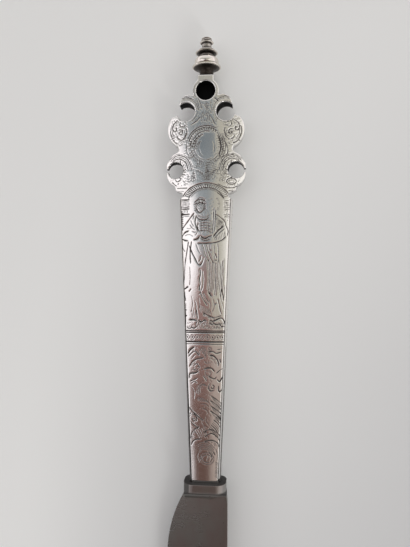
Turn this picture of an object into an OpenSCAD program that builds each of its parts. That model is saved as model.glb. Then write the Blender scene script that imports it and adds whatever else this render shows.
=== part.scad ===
// A silver-hafted knife lying on its side. The long axis runs along Y with the finial at +Y,
// the cutting edge faces -X, and the engraved front face looks up along +Z.

/* [Shaft of the handle] */
// Length of the shaft, from the bolster to the neck of the pierced head
shaft_l = 62.6; // [50:0.1:75]
// Width of the shaft at the bolster
shaft_base_w = 6.9; // [6.4:0.1:8]
// Width of the shaft at its shoulder
shaft_top_w = 12.1; // [11.6:0.1:12.6]
// Thickness of the handle at the bolster, along its middle line
base_t = 3.8; // [3.4:0.1:4.4]
// Thickness of the handle at the ring, along its middle line
head_t = 5; // [4.6:0.1:6]
// Radius of the gentle crown across each broad face
crown_r = 28; // [24:1:60]
// Thickness of the silver sheet of the shaft
sheet_t = 0.5; // [0.4:0.05:0.65]
// How far the rounded narrow sides stand out past the broad sheets
side_bulge = 0.6; // [0.3:0.05:0.8]
// Thickness of the narrow sides where they meet the broad sheets
side_t = 3.6; // [3.2:0.1:3.8]

/* [Pierced head] */
// Width of the notch between the shaft's shoulder and the head
notch_w = 10.2; // [9.4:0.1:10.8]
// Width of the small step under the lower lobes
step_w = 13.5; // [12.8:0.1:14]
// Height of that step above the shaft
step_y = 2.4; // [2.2:0.1:2.6]
// Width of the waist between the lower and the upper lobes
waist_w = 11.9; // [11:0.1:12.4]
// Height of the waist above the neck
waist_y = 11; // [10.6:0.1:11.4]
// Distance of the lower lobes' outer edge from the middle line
lower_lobe_x = 8.85; // [8.7:0.05:9.1]
// Height of the lower pair of holes above the neck
lower_hole_y = 6.5; // [6.2:0.1:6.8]
// Distance of the lower pair of holes from the middle line
lower_hole_x = 6.7; // [6.5:0.05:6.8]
// Radius of the lower pair of holes
lower_hole_r = 1.8; // [1.6:0.05:1.85]
// Width of the slit that opens each lower hole to the side
slit_w = 0.8; // [0.6:0.1:1.2]
// Distance of the upper lobes' outer edge from the middle line
upper_lobe_x = 8.6; // [8.4:0.05:8.8]
// Radius of the upper lobes
upper_lobe_r = 4.3; // [4.15:0.05:4.4]
// Height of the upper lobes' centres above the neck
upper_lobe_y = 15.6; // [15.4:0.1:15.8]
// Height of the upper pair of holes above the neck
upper_hole_y = 19.35; // [19.2:0.05:19.5]
// Distance of the upper pair of holes from the middle line
upper_hole_x = 4.4; // [4.3:0.05:4.5]
// Radius of the upper pair of holes
upper_hole_r = 2.05; // [1.9:0.05:2.1]
// Radius of the scrolls that close over the upper holes
scroll_r = 2.25; // [2.1:0.05:2.3]
// Height of the ring's centre above the neck
ring_y = 23.85; // [23.4:0.05:24.6]
// Outer radius of the ring at the top
ring_r = 2.9; // [2.8:0.05:3.2]
// Radius of the blind socket in the ring
socket_r = 2.1; // [1.6:0.05:2.25]
// Depth of the socket from each broad face
socket_depth = 2; // [1:0.1:2.2]

/* [Finial] */
// Radius of the finial's broad flange
flange_r = 3.2; // [2.8:0.05:3.6]
// Radius of the rounded cushion above the flange
cushion_r = 2.7; // [2.3:0.05:2.75]
// Radius of the middle disc
disc_r = 2.5; // [2:0.05:2.7]
// Radius of the small disc under the knob
small_disc_r = 1.55; // [1.4:0.05:1.8]
// Radius of the knob at the tip
knob_r = 1.25; // [1:0.05:1.35]
// Height of the whole finial above its collar
finial_h = 8.5; // [7:0.1:10]
// Radius of the collar under the finial
collar_r = 1.7; // [1.5:0.05:1.9]
// Thickness of that collar
collar_h = 0.55; // [0.4:0.05:0.8]

/* [Blade] */
// Length of the blade from the bolster to the tip
blade_l = 106; // [85:1:125]
// Distance of the cutting edge from the middle line
edge_x = 8.5; // [7:0.05:10]
// Distance of the back from the middle line
back_x = 5; // [4.75:0.05:5.4]
// Thickness of the blade at its back, next to the bolster
back_t = 2.4; // [1.8:0.1:3]
// Thickness of the blade at the cutting edge
edge_t = 0.3; // [0.2:0.05:0.5]
// Thickness of the back at the tip
tip_t = 0.8; // [0.5:0.1:1.4]
// Straight run between the bolster and the heel
heel_start = 0.8; // [0:0.1:2]
// Length over which the heel curves out to the full width
heel_l = 14; // [10:0.5:18]
// Length of the slant that leads the bolster's side into the blade's back
back_slant = 2.5; // [1.5:0.1:4]
// Length of the curved run up to the tip
point_l = 40; // [25:1:55]
// How far the back falls towards the tip
back_drop = 1.8; // [1:0.1:3]
// Width of the bolster
bolster_w = 9.4; // [9:0.1:10]
// Thickness of the bolster
bolster_t = 6.4; // [5.4:0.1:6.8]
// Length of the bolster's band
bolster_l = 2; // [1.5:0.1:4]
// Radius of the bolster's corners
bolster_r = 2.3; // [1.5:0.1:2.6]
// Length of the tang inside the handle
tang_l = 50; // [30:1:55]
// Width of the tang at the bolster
tang_w = 3.6; // [3:0.1:4]
// Thickness of the tang at the bolster
tang_t = 1.9; // [1.5:0.1:2]
// Width and thickness of the tang's tip
tang_tip = 1.4; // [1:0.1:1.8]

/* [Hidden] */
$fn = 128;
// Clearance round the tang, the core and the tongue
fit_gap = 0.05;
// Extra length that lets a cut run clear through a face
over = 1;
// Thickness of the plate that closes the shaft at the bolster
cap_h = 0.8;
// Length of the head's tongue inside the shaft
tongue_l = 4;
// Radius and length of the finial's peg
peg_r = 0.6;
peg_l = 0.9;
// Wall of silver over the ring's socket, where the finial stands
crest_wall = 1.35;
crest_y = ring_y + socket_r + crest_wall;
crest_r = 1.75;
// Rounded belly and upper corner of the lower lobes
belly_r = 3;
corner_r = 0.9;
// Hollow of the notch above the shaft's shoulder
notch_r = 0.9;
notch_y = 0.85;
// Small horn that ends each upper lobe beside its hole
horn_r = 0.65;
// Concave fillet between the bolster and the blade
fillet_r = 1.9;
// How far the blade's root starts inside the bolster
root_in = 0.2;
// The point's curves would meet this far past the blunted tip
tip_blunt = 0.5;

// Places measured from the bolster's face along the middle line
neck_y = shaft_l;
handle_l = neck_y + crest_y;
taper = (shaft_top_w - shaft_base_w) / 2 / shaft_l;
// Silver between the shaft's outline and its hollow
lining = side_bulge + sheet_t;
crown_rise = (head_t - base_t) / 2;
finial_y = handle_l + collar_h;
tip_y = -bolster_l - blade_l;
top_y = finial_y + finial_h;
// The middle line lies as high as the widest round part that the knife rests on
axis_z = max(flange_r, bolster_t / 2);
// The model is shifted so that its box is centred on the origin
shift = [(max(edge_x, lower_lobe_x) - lower_lobe_x) / 2, -(top_y + tip_y) / 2, axis_z];

silver = "#c9c5bd";
dark_silver = "#8f8a84";
steel = "#4d4744";
pitch = "#1c1714";

function dir(angle) = [cos(angle), sin(angle)];

// Points along an arc from one angle to another
function arc(centre, r, from, to, steps = 12) =
    [for (i = [0:steps]) centre + r * dir(from + (to - from) * i / steps)];

// The same points on the other side of the middle line, in reverse order
function mirrored(points) = [for (i = [len(points) - 1:-1:0]) [-points[i][0], points[i][1]]];

// Flat outline of the shaft, drawn in by d on its long sides
module shaft_outline(d, y0, y1) {
    half_0 = shaft_base_w / 2 + taper * y0 - d;
    half_1 = shaft_base_w / 2 + taper * y1 - d;
    polygon([[-half_0, y0], [half_0, y0], [half_1, y1], [-half_1, y1]]);
}

// Right half of the head's outline, from the shaft's shoulder up to the crest
function lower_lobe_points() = concat(
    [[shaft_top_w / 2, 0]],
    arc([notch_w / 2 + notch_r, notch_y], notch_r, 215, 145, 6),
    [[step_w / 2 - 0.15, step_y - 0.5], [step_w / 2, step_y - 0.35], [step_w / 2, step_y]],
    arc([lower_lobe_x - belly_r, lower_hole_y - 0.7], belly_r, -66, 0, 14),
    arc([lower_lobe_x - corner_r, lower_hole_y + 1.3], corner_r, 0, 60, 8),
    arc([waist_w / 2 + 2.05, waist_y + 1.55], 2.6, 258, 222, 6),
    [[waist_w / 2, waist_y]]);

function upper_lobe_points() = concat(
    arc([upper_lobe_x - upper_lobe_r, upper_lobe_y], upper_lobe_r, -64, 36, 20),
    arc([upper_lobe_x - upper_lobe_r, upper_lobe_y] + (upper_lobe_r - horn_r) * dir(36),
        horn_r, 36, 105, 6),
    [[upper_hole_x + 1.2, upper_hole_y - 0.15], [upper_hole_x + 1.2, upper_hole_y + 0.6]],
    arc([upper_hole_x - 0.8, upper_hole_y + 1.6], scroll_r, -8, 82, 14),
    arc([0, ring_y], ring_r, asin(-0.32), 52, 12),
    [[crest_r, ring_y + socket_r + 0.3], [crest_r, crest_y]]);

module head_outline() {
    half = concat(lower_lobe_points(), upper_lobe_points());
    polygon(concat(half, mirrored(half)));
}

// Body between the crowned front and back, drawn in by d
module crowned(d) {
    run = handle_l + 2 * over;
    intersection_for(side = [0, 1])
        mirror([0, 0, side])
            translate([0, -over, base_t / 2 - crown_r])
                rotate([-90, 0, 0])
                    cylinder(h = run, r1 = crown_r - d, r2 = crown_r + crown_rise - d);
}

// Everything inside the crowned body over a flat outline
module between_crowns(d) {
    intersection() {
        crowned(d);
        translate([0, 0, -head_t]) linear_extrude(2 * head_t) children();
    }
}

// A round cut along Z that opens a hole of the head
module hole_cut(at, r, z0, z1) {
    translate([at[0], at[1] + neck_y, z0]) cylinder(h = z1 - z0, r = r);
}

module pierced_head() {
    lower = [lower_hole_x, lower_hole_y];
    upper = [upper_hole_x, upper_hole_y];
    color(silver) union() {
        difference() {
            between_crowns(0) translate([0, neck_y]) head_outline();
            for (side = [0, 1]) mirror([side, 0, 0]) {
                hole_cut(lower, lower_hole_r, -head_t, head_t);
                hole_cut(upper, upper_hole_r, -head_t, head_t);
                translate([lower_hole_x, neck_y + lower_hole_y - slit_w / 2, -head_t])
                    cube([lower_lobe_x, slit_w, 2 * head_t]);
            }
            hole_cut([0, ring_y], socket_r, head_t / 2 - socket_depth, head_t);
            hole_cut([0, ring_y], socket_r, -head_t, socket_depth - head_t / 2);
            translate([0, handle_l - peg_l - fit_gap, 0])
                rotate([-90, 0, 0]) cylinder(h = peg_l + over, r = peg_r + fit_gap);
        }
        between_crowns(sheet_t + fit_gap)
            shaft_outline(lining + fit_gap, shaft_l - tongue_l, shaft_l + fit_gap);
    }
}

// One crowned sheet of the shaft: side 0 is the front and side 1 the back
module shaft_plate(side) {
    color(silver) mirror([0, 0, side]) intersection() {
        difference() {
            between_crowns(0) shaft_outline(side_bulge, 0, shaft_l);
            crowned(sheet_t);
        }
        translate([-shaft_top_w, -over, 0]) cube([2 * shaft_top_w, shaft_l + 2 * over, head_t]);
    }
}

// Flat outline of a band along the shaft's right side, between two depths from its edge
module side_band(d_out, d_in) {
    half_0 = shaft_base_w / 2;
    half_1 = shaft_top_w / 2;
    polygon([[half_0 - d_in, 0], [half_0 - d_out, 0],
        [half_1 - d_out, shaft_l], [half_1 - d_in, shaft_l]]);
}

// Round bar that follows the shaft's right edge and gives the narrow side its bulge
module side_rounding() {
    r = (side_t * side_t / 4 + side_bulge * side_bulge) / 2 / side_bulge;
    translate([shaft_base_w / 2, 0, 0]) rotate([0, 0, -atan(taper)])
        translate([-r, -over, 0]) rotate([-90, 0, 0]) cylinder(h = shaft_l + 3 * over, r = r);
}

// One narrow strip of the shaft: side 0 is the right and side 1 the left. Its inner part
// fills the gap between the sheets, and its outer part is rounded and covers their edges.
module edge_strip(side) {
    color(dark_silver) mirror([side, 0, 0]) union() {
        between_crowns(sheet_t) side_band(side_bulge, lining);
        intersection() {
            between_crowns(0) side_band(0, side_bulge);
            side_rounding();
        }
    }
}

// The tapering tang, grown all round by d
module tang(d) {
    half_w = tang_w / 2 + d;
    half_t = tang_t / 2 + d;
    tip = tang_tip / 2 + d;
    intersection() {
        translate([0, 0, -half_t]) linear_extrude(2 * half_t)
            polygon([[-half_w, -over], [half_w, -over], [tip, tang_l + d], [-tip, tang_l + d]]);
        translate([-half_w, 0, 0]) rotate([90, 0, 90]) linear_extrude(2 * half_w)
            polygon([[-over, -half_t], [tang_l + d, -tip], [tang_l + d, tip], [-over, half_t]]);
    }
}

module base_cap() {
    color(dark_silver) difference() {
        between_crowns(sheet_t) shaft_outline(lining, 0, cap_h);
        tang(fit_gap);
    }
}

module pitch_core() {
    color(pitch) difference() {
        between_crowns(sheet_t + fit_gap) shaft_outline(lining + fit_gap,
            cap_h + fit_gap, shaft_l - tongue_l - fit_gap);
        tang(fit_gap);
    }
}

// Half outline of the finial as [radius, share of its height]
module finial_profile() {
    neck = 0.57 * cushion_r;
    rows = [[0, 0], [neck, 0], [neck, 0.095], [neck + 0.25, 0.145], [0.72 * flange_r, 0.18],
        [flange_r - 0.1, 0.205], [flange_r, 0.215], [flange_r, 0.235], [flange_r - 0.12, 0.245],
        [cushion_r - 0.1, 0.255], [cushion_r - 0.12, 0.275], [cushion_r - 0.02, 0.31],
        [cushion_r, 0.345], [cushion_r - 0.04, 0.39], [cushion_r - 0.2, 0.43],
        [cushion_r - 0.5, 0.46], [cushion_r - 0.9, 0.48], [neck, 0.487], [neck - 0.04, 0.515],
        [neck, 0.55], [disc_r - 0.35, 0.575], [disc_r, 0.592], [disc_r, 0.603],
        [0.8 * disc_r, 0.622], [0.72 * disc_r, 0.632], [0.76 * disc_r, 0.648],
        [0.74 * disc_r, 0.668], [0.66 * disc_r, 0.678], [0.5 * disc_r, 0.715],
        [0.7 * small_disc_r, 0.735], [0.7 * small_disc_r, 0.79], [0.72 * small_disc_r, 0.835],
        [small_disc_r - 0.1, 0.85], [small_disc_r, 0.862], [small_disc_r, 0.872],
        [small_disc_r - 0.15, 0.885], [0.8 * knob_r, 0.897], [knob_r - 0.05, 0.908],
        [knob_r, 0.92], [knob_r - 0.05, 0.932], [0.8 * knob_r, 0.942], [0.78 * knob_r, 0.95],
        [knob_r - 0.12, 0.958], [knob_r - 0.08, 0.968], [knob_r - 0.2, 0.982],
        [0.55 * knob_r, 0.993], [0.25 * knob_r, 1], [0, 1]];
    polygon([for (row = rows) [row[0], row[1] * finial_h]]);
}

module finial() {
    color(silver) translate([0, finial_y, 0]) rotate([-90, 0, 0]) union() {
        rotate_extrude() finial_profile();
        translate([0, 0, -collar_h - peg_l]) cylinder(h = collar_h + peg_l + over, r = peg_r);
    }
}

module finial_collar() {
    color(dark_silver) translate([0, handle_l, 0]) rotate([-90, 0, 0]) difference() {
        cylinder(h = collar_h, r = collar_r);
        translate([0, 0, -over]) cylinder(h = collar_h + 2 * over, r = peg_r + fit_gap);
    }
}

// Flat outline of the blade: a root inside the bolster, a curved heel on the left, a slant
// that leads into the back on the right, a straight run and a curved point
module blade_outline() {
    root_half = bolster_w / 2 - root_in;
    back_y = -bolster_l - back_slant;
    heel_in = edge_x - bolster_w / 2;
    heel_r = (heel_l * heel_l + heel_in * heel_in) / 2 / heel_in;
    heel_top = -bolster_l - heel_start;
    heel_y = heel_top - heel_l;
    point_y = tip_y + point_l;
    rise = edge_x + back_x - back_drop;
    sharp_l = point_l + tip_blunt;
    edge_r = (sharp_l * sharp_l + rise * rise) / 2 / rise;
    drop_r = (sharp_l * sharp_l + back_drop * back_drop) / 2 / back_drop;
    width = edge_x + back_x;
    polygon([[-root_half, back_y], [-root_half, -root_in], [root_half, -root_in],
        [root_half, -bolster_l], [back_x, back_y]]);
    intersection() {
        translate([-edge_x, heel_y]) square([edge_x, heel_l + root_in]);
        translate([heel_r - edge_x, heel_y]) circle(heel_r, $fn = 360);
    }
    translate([-over, heel_y - over]) square([back_x + over, back_y - heel_y + over]);
    translate([-edge_x, point_y]) square([width, heel_y - point_y]);
    intersection() {
        translate([-edge_x, tip_y]) square([width, point_l]);
        translate([edge_r - edge_x, point_y]) circle(edge_r, $fn = 720);
        translate([back_x - drop_r, point_y]) circle(drop_r, $fn = 1440);
    }
}

// Wedge from the thick back to the thin edge, thinning towards the tip as well
module blade_wedge() {
    back = back_t / 2;
    edge = edge_t / 2;
    rotate([90, 0, 0]) linear_extrude(bolster_l + blade_l)
        polygon([[-edge_x, -edge], [back_x, -back], [back_x, back], [-edge_x, edge]]);
}

module distal_taper() {
    tip = tip_t / 2;
    back = back_t / 2;
    translate([-edge_x, 0, 0]) rotate([90, 0, 90]) linear_extrude(edge_x + back_x)
        polygon([[0, -back], [tip_y, -tip], [tip_y, tip], [0, back]]);
}

// Section of the bolster: a rounded rectangle standing in the XZ plane
module bolster_section() {
    square([bolster_w, bolster_t - 2 * bolster_r], center = true);
    square([bolster_w - 2 * bolster_r, bolster_t], center = true);
    for (x = [-1, 1], z = [-1, 1])
        translate([x * (bolster_w / 2 - bolster_r), z * (bolster_t / 2 - bolster_r)])
            circle(bolster_r);
}

// The bolster's band and the hollow sweep that leads it into the blade
module bolster() {
    depth = bolster_l + fillet_r;
    difference() {
        rotate([90, 0, 0]) linear_extrude(depth) bolster_section();
        for (side = [-1, 1])
            translate([-bolster_w, -depth, side * (back_t / 2 + fillet_r - 0.25)])
                rotate([0, 90, 0]) cylinder(h = 2 * bolster_w, r = fillet_r);
    }
}

module blade() {
    color(steel) union() {
        intersection() {
            translate([0, 0, -back_t]) linear_extrude(2 * back_t) blade_outline();
            blade_wedge();
            distal_taper();
        }
        bolster();
        tang(0);
    }
}

translate(shift) {
    pierced_head();
    finial();
    finial_collar();
    shaft_plate(0);  // front_plate
    shaft_plate(1);  // back_plate
    edge_strip(1);  // left_edge_strip
    edge_strip(0);  // right_edge_strip
    base_cap();
    pitch_core();
    blade();
}
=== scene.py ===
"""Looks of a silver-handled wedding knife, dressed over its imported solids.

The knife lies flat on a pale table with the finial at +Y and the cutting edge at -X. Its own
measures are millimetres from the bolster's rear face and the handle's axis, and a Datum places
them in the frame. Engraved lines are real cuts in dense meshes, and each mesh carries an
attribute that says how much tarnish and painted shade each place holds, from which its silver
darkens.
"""

import logging
import math
from dataclasses import dataclass
from enum import Enum
from typing import Callable, Iterable, Sequence, TypeAlias

import bmesh
import bpy
import numpy as np
from mathutils import Matrix, Vector

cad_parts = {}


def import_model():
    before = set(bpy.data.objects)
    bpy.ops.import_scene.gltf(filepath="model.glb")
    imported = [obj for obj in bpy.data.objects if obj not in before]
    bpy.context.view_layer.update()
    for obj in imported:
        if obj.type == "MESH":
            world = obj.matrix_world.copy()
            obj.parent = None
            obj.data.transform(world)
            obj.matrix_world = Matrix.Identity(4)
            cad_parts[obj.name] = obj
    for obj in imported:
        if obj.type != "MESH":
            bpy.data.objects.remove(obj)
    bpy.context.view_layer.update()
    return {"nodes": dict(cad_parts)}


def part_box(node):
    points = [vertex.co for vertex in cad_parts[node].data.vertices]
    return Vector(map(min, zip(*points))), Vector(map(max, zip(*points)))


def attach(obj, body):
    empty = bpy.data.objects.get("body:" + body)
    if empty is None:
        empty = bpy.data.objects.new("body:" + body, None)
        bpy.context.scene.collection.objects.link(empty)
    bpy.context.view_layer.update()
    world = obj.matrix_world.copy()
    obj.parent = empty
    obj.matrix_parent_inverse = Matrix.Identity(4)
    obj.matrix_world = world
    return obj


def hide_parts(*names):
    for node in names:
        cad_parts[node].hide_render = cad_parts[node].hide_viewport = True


LOG = logging.getLogger("wedding_knife")
MM = 0.001
# Mesh attribute that holds tarnish in the engraved lines and painted shade in holes, recesses and undersides
TARNISH_AND_PAINTED_SHADE = "cut"
Point = tuple[float, float]
Place = tuple[float, float, float]
Colour = tuple[float, float, float]
Array = np.ndarray
Mesh = bmesh.types.BMesh
Vert = bmesh.types.BMVert
Edge = bmesh.types.BMEdge
Piece = bpy.types.Object
Socket = bpy.types.NodeSocket
Material = bpy.types.Material
Number: TypeAlias = "Signal | float"


class Side(Enum):
    """Which broad face of the handle a piece belongs to."""

    FRONT = 1
    BACK = -1


class Hand(Enum):
    """Which narrow side of the handle a piece belongs to."""

    RIGHT = 1
    LEFT = -1


@dataclass(frozen=True)
class Datum:
    """Where the knife's own millimetres start in the frame, in metres."""

    x: float
    y: float
    z: float

    @classmethod
    def from_frame(cls) -> "Datum":
        """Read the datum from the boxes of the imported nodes.

        Returns:
            The point on the handle's axis at the bolster's rear face.
        """
        plate_low, plate_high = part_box("front_plate")
        finial_low, finial_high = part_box("finial")
        return cls(
            x=(plate_low[0] + plate_high[0]) / 2,
            y=plate_low[1],
            z=(finial_low[2] + finial_high[2]) / 2,
        )

    def matrix(self) -> Matrix:
        """Return the change from the knife's millimetres to the frame's metres."""
        return Matrix.Translation((self.x, self.y, self.z)) @ Matrix.Scale(MM, 4)


# Mesh helpers


def move(verts: Sequence[Vert], places: Array) -> None:
    """Put each vertex at its row of an array of places."""
    for vert, place in zip(verts, places.tolist()):
        vert.co = place


def sheet_grid(mesh: Mesh, across: Array, along: Array) -> list[Vert]:
    """Add a grid whose columns and rows lie at chosen places.

    Args:
        mesh: The mesh that the grid is added to.
        across: Places of the columns along X.
        along: Places of the rows along Y.

    Returns:
        The new vertices, sorted by row and then by column.
    """
    columns, rows = len(across) - 1, len(along) - 1
    made = bmesh.ops.create_grid(mesh, x_segments=columns, y_segments=rows, size=1.0)

    def cell(vert: Vert) -> tuple[int, int]:
        """Return the row and the column of a corner of the square grid."""
        return round((vert.co.y + 1) / 2 * rows), round((vert.co.x + 1) / 2 * columns)

    verts = sorted(made["verts"], key=cell)
    places = np.zeros((len(verts), 3))
    places[:, 0] = np.tile(across, len(along))
    places[:, 1] = np.repeat(along, len(across))
    move(verts, places)
    return verts


def places_of(verts: Sequence[Vert]) -> Array:
    """Return the places of some vertices as rows of an array."""
    return np.array([tuple(v.co) for v in verts])


def open_edges(mesh: Mesh) -> list[Edge]:
    """Return the edges that border only one face."""
    return [edge for edge in mesh.edges if len(edge.link_faces) == 1]


def pull_wall(mesh: Mesh, edges: Sequence[Edge], place: Callable[[Vector], Place]) -> list[Edge]:
    """Extrude a border to new places.

    Args:
        mesh: The mesh that holds the border.
        edges: The border's edges.
        place: Gives the new place of each vertex from where it stands.

    Returns:
        The edges of the new border.
    """
    made = bmesh.ops.extrude_edge_only(mesh, edges=list(edges))["geom"]
    for vert in (item for item in made if isinstance(item, Vert)):
        vert.co = place(vert.co)
    return [item for item in made if isinstance(item, Edge) and len(item.link_faces) == 1]


def finish_piece(mesh: Mesh, name: str, datum: Datum, crease: float = 40.0,
                 cuts: Callable[[Array], Array] | None = None) -> Piece:
    """Turn a mesh in the knife's millimetres into an object at the frame's origin.

    Args:
        mesh: The finished mesh, which is freed here.
        name: Name of the new object.
        datum: Where the knife's millimetres start.
        crease: Edges that bend by more degrees than this are shown sharp.
        cuts: Gives the share of tarnish and painted shade that each place holds, from 0 to 1.

    Returns:
        The new object, already part of the scene.
    """
    bmesh.ops.recalc_face_normals(mesh, faces=mesh.faces)
    data = bpy.data.meshes.new(name)
    mesh.to_mesh(data)
    mesh.free()
    places = np.zeros(len(data.vertices) * 3)
    data.vertices.foreach_get("co", places)
    shares = np.zeros(len(data.vertices)) if cuts is None else cuts(places.reshape(-1, 3))
    layer = data.attributes.new(TARNISH_AND_PAINTED_SHADE, "FLOAT", "POINT")
    layer.data.foreach_set("value", np.clip(shares, 0, 1).astype(np.float32))
    data.transform(datum.matrix())
    data.shade_smooth()
    data.set_sharp_from_angle(angle=math.radians(crease))
    made = bpy.data.objects.new(name, data)
    bpy.context.scene.collection.objects.link(made)
    return made


def rounded(distance: Array, radius: float) -> Array:
    """Return how far a rounded edge falls below its face, at a distance along the face."""
    inward = np.clip(radius - distance, 0, radius)
    return radius - np.sqrt(radius**2 - inward**2)


# Shapes of the handle


@dataclass(frozen=True)
class Crown:
    """The gently domed surface that the plates and the head share."""

    base_t: float = 3.8
    head_t: float = 5.0
    radius: float = 28.0
    handle_l: float = 89.9
    overrun: float = 1.0

    def height(self, x: Array, y: Array) -> Array:
        """Return the height of the surface above the handle's axis.

        Args:
            x: Distance from the middle line.
            y: Distance from the bolster.

        Returns:
            The height at each place.
        """
        rise = (self.head_t - self.base_t) / 2
        grown = self.radius + rise * (y + self.overrun) / (self.handle_l + 2 * self.overrun)
        return self.base_t / 2 - self.radius + np.sqrt(grown**2 - x**2)


@dataclass(frozen=True)
class Shaft:
    """Outline of the tapering shaft, whose narrow sides stand out as a round bulge."""

    length: float = 62.6
    base_w: float = 6.9
    top_w: float = 12.1
    bulge: float = 0.45
    side_t: float = 3.6
    sheet_t: float = 0.5

    def half(self, y: Array | float) -> Array | float:
        """Return half the shaft's width at a distance from the bolster."""
        return (self.base_w + (self.top_w - self.base_w) * y / self.length) / 2

    def face_half(self, y: Array | float) -> Array | float:
        """Return half the width of a broad face at a distance from the bolster."""
        return self.half(y) - self.bulge


def spoke(centre: Point, rx: float, ry: float, turn: float) -> Point:
    """Return the point of an oval at an angle in radians."""
    return centre[0] + rx * math.cos(turn), centre[1] + ry * math.sin(turn)


def arc(centre: Point, radius: float, start: float, end: float, steps: int = 12) -> list[Point]:
    """Return points along an arc, between two angles in degrees."""
    angles = np.radians(np.linspace(start, end, steps + 1))
    return [spoke(centre, radius, radius, a) for a in angles]


@dataclass(frozen=True)
class HeadShape:
    """Outline of the pierced head, measured from the shaft's shoulder."""

    shoulder: float = 62.6
    top_w: float = 12.1
    notch_w: float = 10.2
    notch_r: float = 0.9
    notch_y: float = 0.85
    step_w: float = 13.5
    step_y: float = 2.4
    waist_w: float = 11.9
    waist_y: float = 11.0
    lower_lobe_x: float = 8.85
    belly_r: float = 3.0
    corner_r: float = 0.9
    lower_hole: Point = (6.7, 6.5)
    lower_hole_r: float = 1.8
    slit_w: float = 0.8
    upper_lobe_x: float = 8.6
    upper_lobe_y: float = 15.6
    upper_lobe_r: float = 4.3
    horn_r: float = 0.65
    upper_hole: Point = (4.4, 19.35)
    upper_hole_r: float = 2.05
    scroll_r: float = 2.25
    ring_y: float = 23.85
    ring_r: float = 2.9
    socket_r: float = 2.1
    socket_floor: float = 0.5
    crest_wall: float = 1.35
    crest_r: float = 1.75

    def half_outline(self) -> list[Point]:
        """Return the right half of the outline, from the shoulder to the crest.

        Returns:
            Its corners in order.
        """
        lobe = (self.upper_lobe_x - self.upper_lobe_r, self.upper_lobe_y)
        lean = math.radians(36)
        reach = self.upper_lobe_r - self.horn_r
        horn = spoke(lobe, reach, reach, lean)
        hole_x, hole_y = self.upper_hole
        step = self.step_w / 2
        return [
            (self.top_w / 2, 0.0),
            *arc((self.notch_w / 2 + self.notch_r, self.notch_y), self.notch_r, 215, 145, 6),
            (step - 0.15, self.step_y - 0.5), (step, self.step_y - 0.35), (step, self.step_y),
            *arc((self.lower_lobe_x - self.belly_r, self.lower_hole[1] - 0.7), self.belly_r, -66, 0, 14),
            *arc((self.lower_lobe_x - self.corner_r, self.lower_hole[1] + 1.3), self.corner_r, 0, 60, 8),
            *arc((self.waist_w / 2 + 2.05, self.waist_y + 1.55), 2.6, 258, 222, 6),
            (self.waist_w / 2, self.waist_y),
            *arc(lobe, self.upper_lobe_r, -64, 36, 20),
            *arc(horn, self.horn_r, 36, 105, 6),
            (hole_x + 1.2, hole_y - 0.15), (hole_x + 1.2, hole_y + 0.6),
            *arc((hole_x - 0.8, hole_y + 1.6), self.scroll_r, -8, 82, 14),
            *arc((0.0, self.ring_y), self.ring_r, math.degrees(math.asin(-0.32)), 52, 12),
            (self.crest_r, self.ring_y + self.socket_r + 0.3),
            (self.crest_r, self.ring_y + self.socket_r + self.crest_wall),
        ]

    def outline(self) -> Array:
        """Return the whole outline, measured from the bolster.

        Returns:
            Its corners, one a row.
        """
        half = self.half_outline()
        points = np.array(half + [(-x, y) for x, y in reversed(half)])
        points[:, 1] += self.shoulder
        return points

    def distance(self, x: Array, y: Array) -> Array:
        """Return the distance to the nearest edge of the head, negative inside the silver.

        Args:
            x: Distance from the middle line.
            y: Distance from the bolster.

        Returns:
            The signed distance at each place.
        """
        found = outline_distance(self.outline(), x, y)
        side, up = np.abs(x), y - self.shoulder
        for (hole_x, hole_y), radius in ((self.lower_hole, self.lower_hole_r),
                                         (self.upper_hole, self.upper_hole_r),
                                         ((0.0, self.ring_y), self.socket_r)):
            found = np.maximum(found, radius - np.hypot(side - hole_x, up - hole_y))
        slit = np.minimum(self.slit_w / 2 - np.abs(up - self.lower_hole[1]), side - self.lower_hole[0])
        return np.maximum(found, slit)


def outline_distance(outline: Array, x: Array, y: Array) -> Array:
    """Return the distance from many places to a closed outline, negative inside it.

    Args:
        outline: Corners of the outline, one a row.
        x: First coordinate of each place.
        y: Second coordinate of each place.

    Returns:
        The signed distance of each place.
    """
    nearest = np.full(x.shape, np.inf)
    inside = np.zeros(x.shape, dtype=bool)
    for (ax, ay), (bx, by) in zip(outline, np.roll(outline, -1, axis=0)):
        run_x, run_y = bx - ax, by - ay
        span = run_x**2 + run_y**2
        if span == 0:
            continue
        share = np.clip(((x - ax) * run_x + (y - ay) * run_y) / span, 0, 1)
        nearest = np.minimum(nearest, np.hypot(x - ax - share * run_x, y - ay - share * run_y))
        if run_y != 0:
            crosses = (ay > y) != (by > y)
            inside ^= crosses & (x < ax + (y - ay) * run_x / run_y)
    return np.where(inside, -nearest, nearest)


# Engraving


@dataclass(frozen=True)
class Graver:
    """One tool of the engraver: how wide and deep its line is, and how much tarnish settles in it."""

    width: float
    depth: float
    tarnish: float


HAIR = Graver(0.165, 0.02, 0.62)
LINE = Graver(0.22, 0.036, 0.78)
BOLD = Graver(0.29, 0.06, 0.88)

# The worn shoulder of a cut: how many times wider than the cut it is, and its share of the depth
SHOULDER = 3.0
WEAR = 0.25
# The ends of a cut: how full they start, and over how many millimetres they swell
END_FULL = 0.55
END_RUN = 0.6
# Share of the tarnish that stays in the thinnest end
END_TARNISH = 0.4
# How much the hand's pressure differs from cut to cut, and wavers along one cut
PRESS = 0.12
WAVER = 0.14
# How much fuller the tarnish lies in a groove than the groove's own shape
PACKED = 1.6
# Spacing of the points along a smooth line
POINT_GAP = 0.12
# Steps that spread nicks evenly over a matted ground: across, along, turned in degrees, and sized
SPREAD = (0.7549, 0.5698, 137.5, 0.618)


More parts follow.
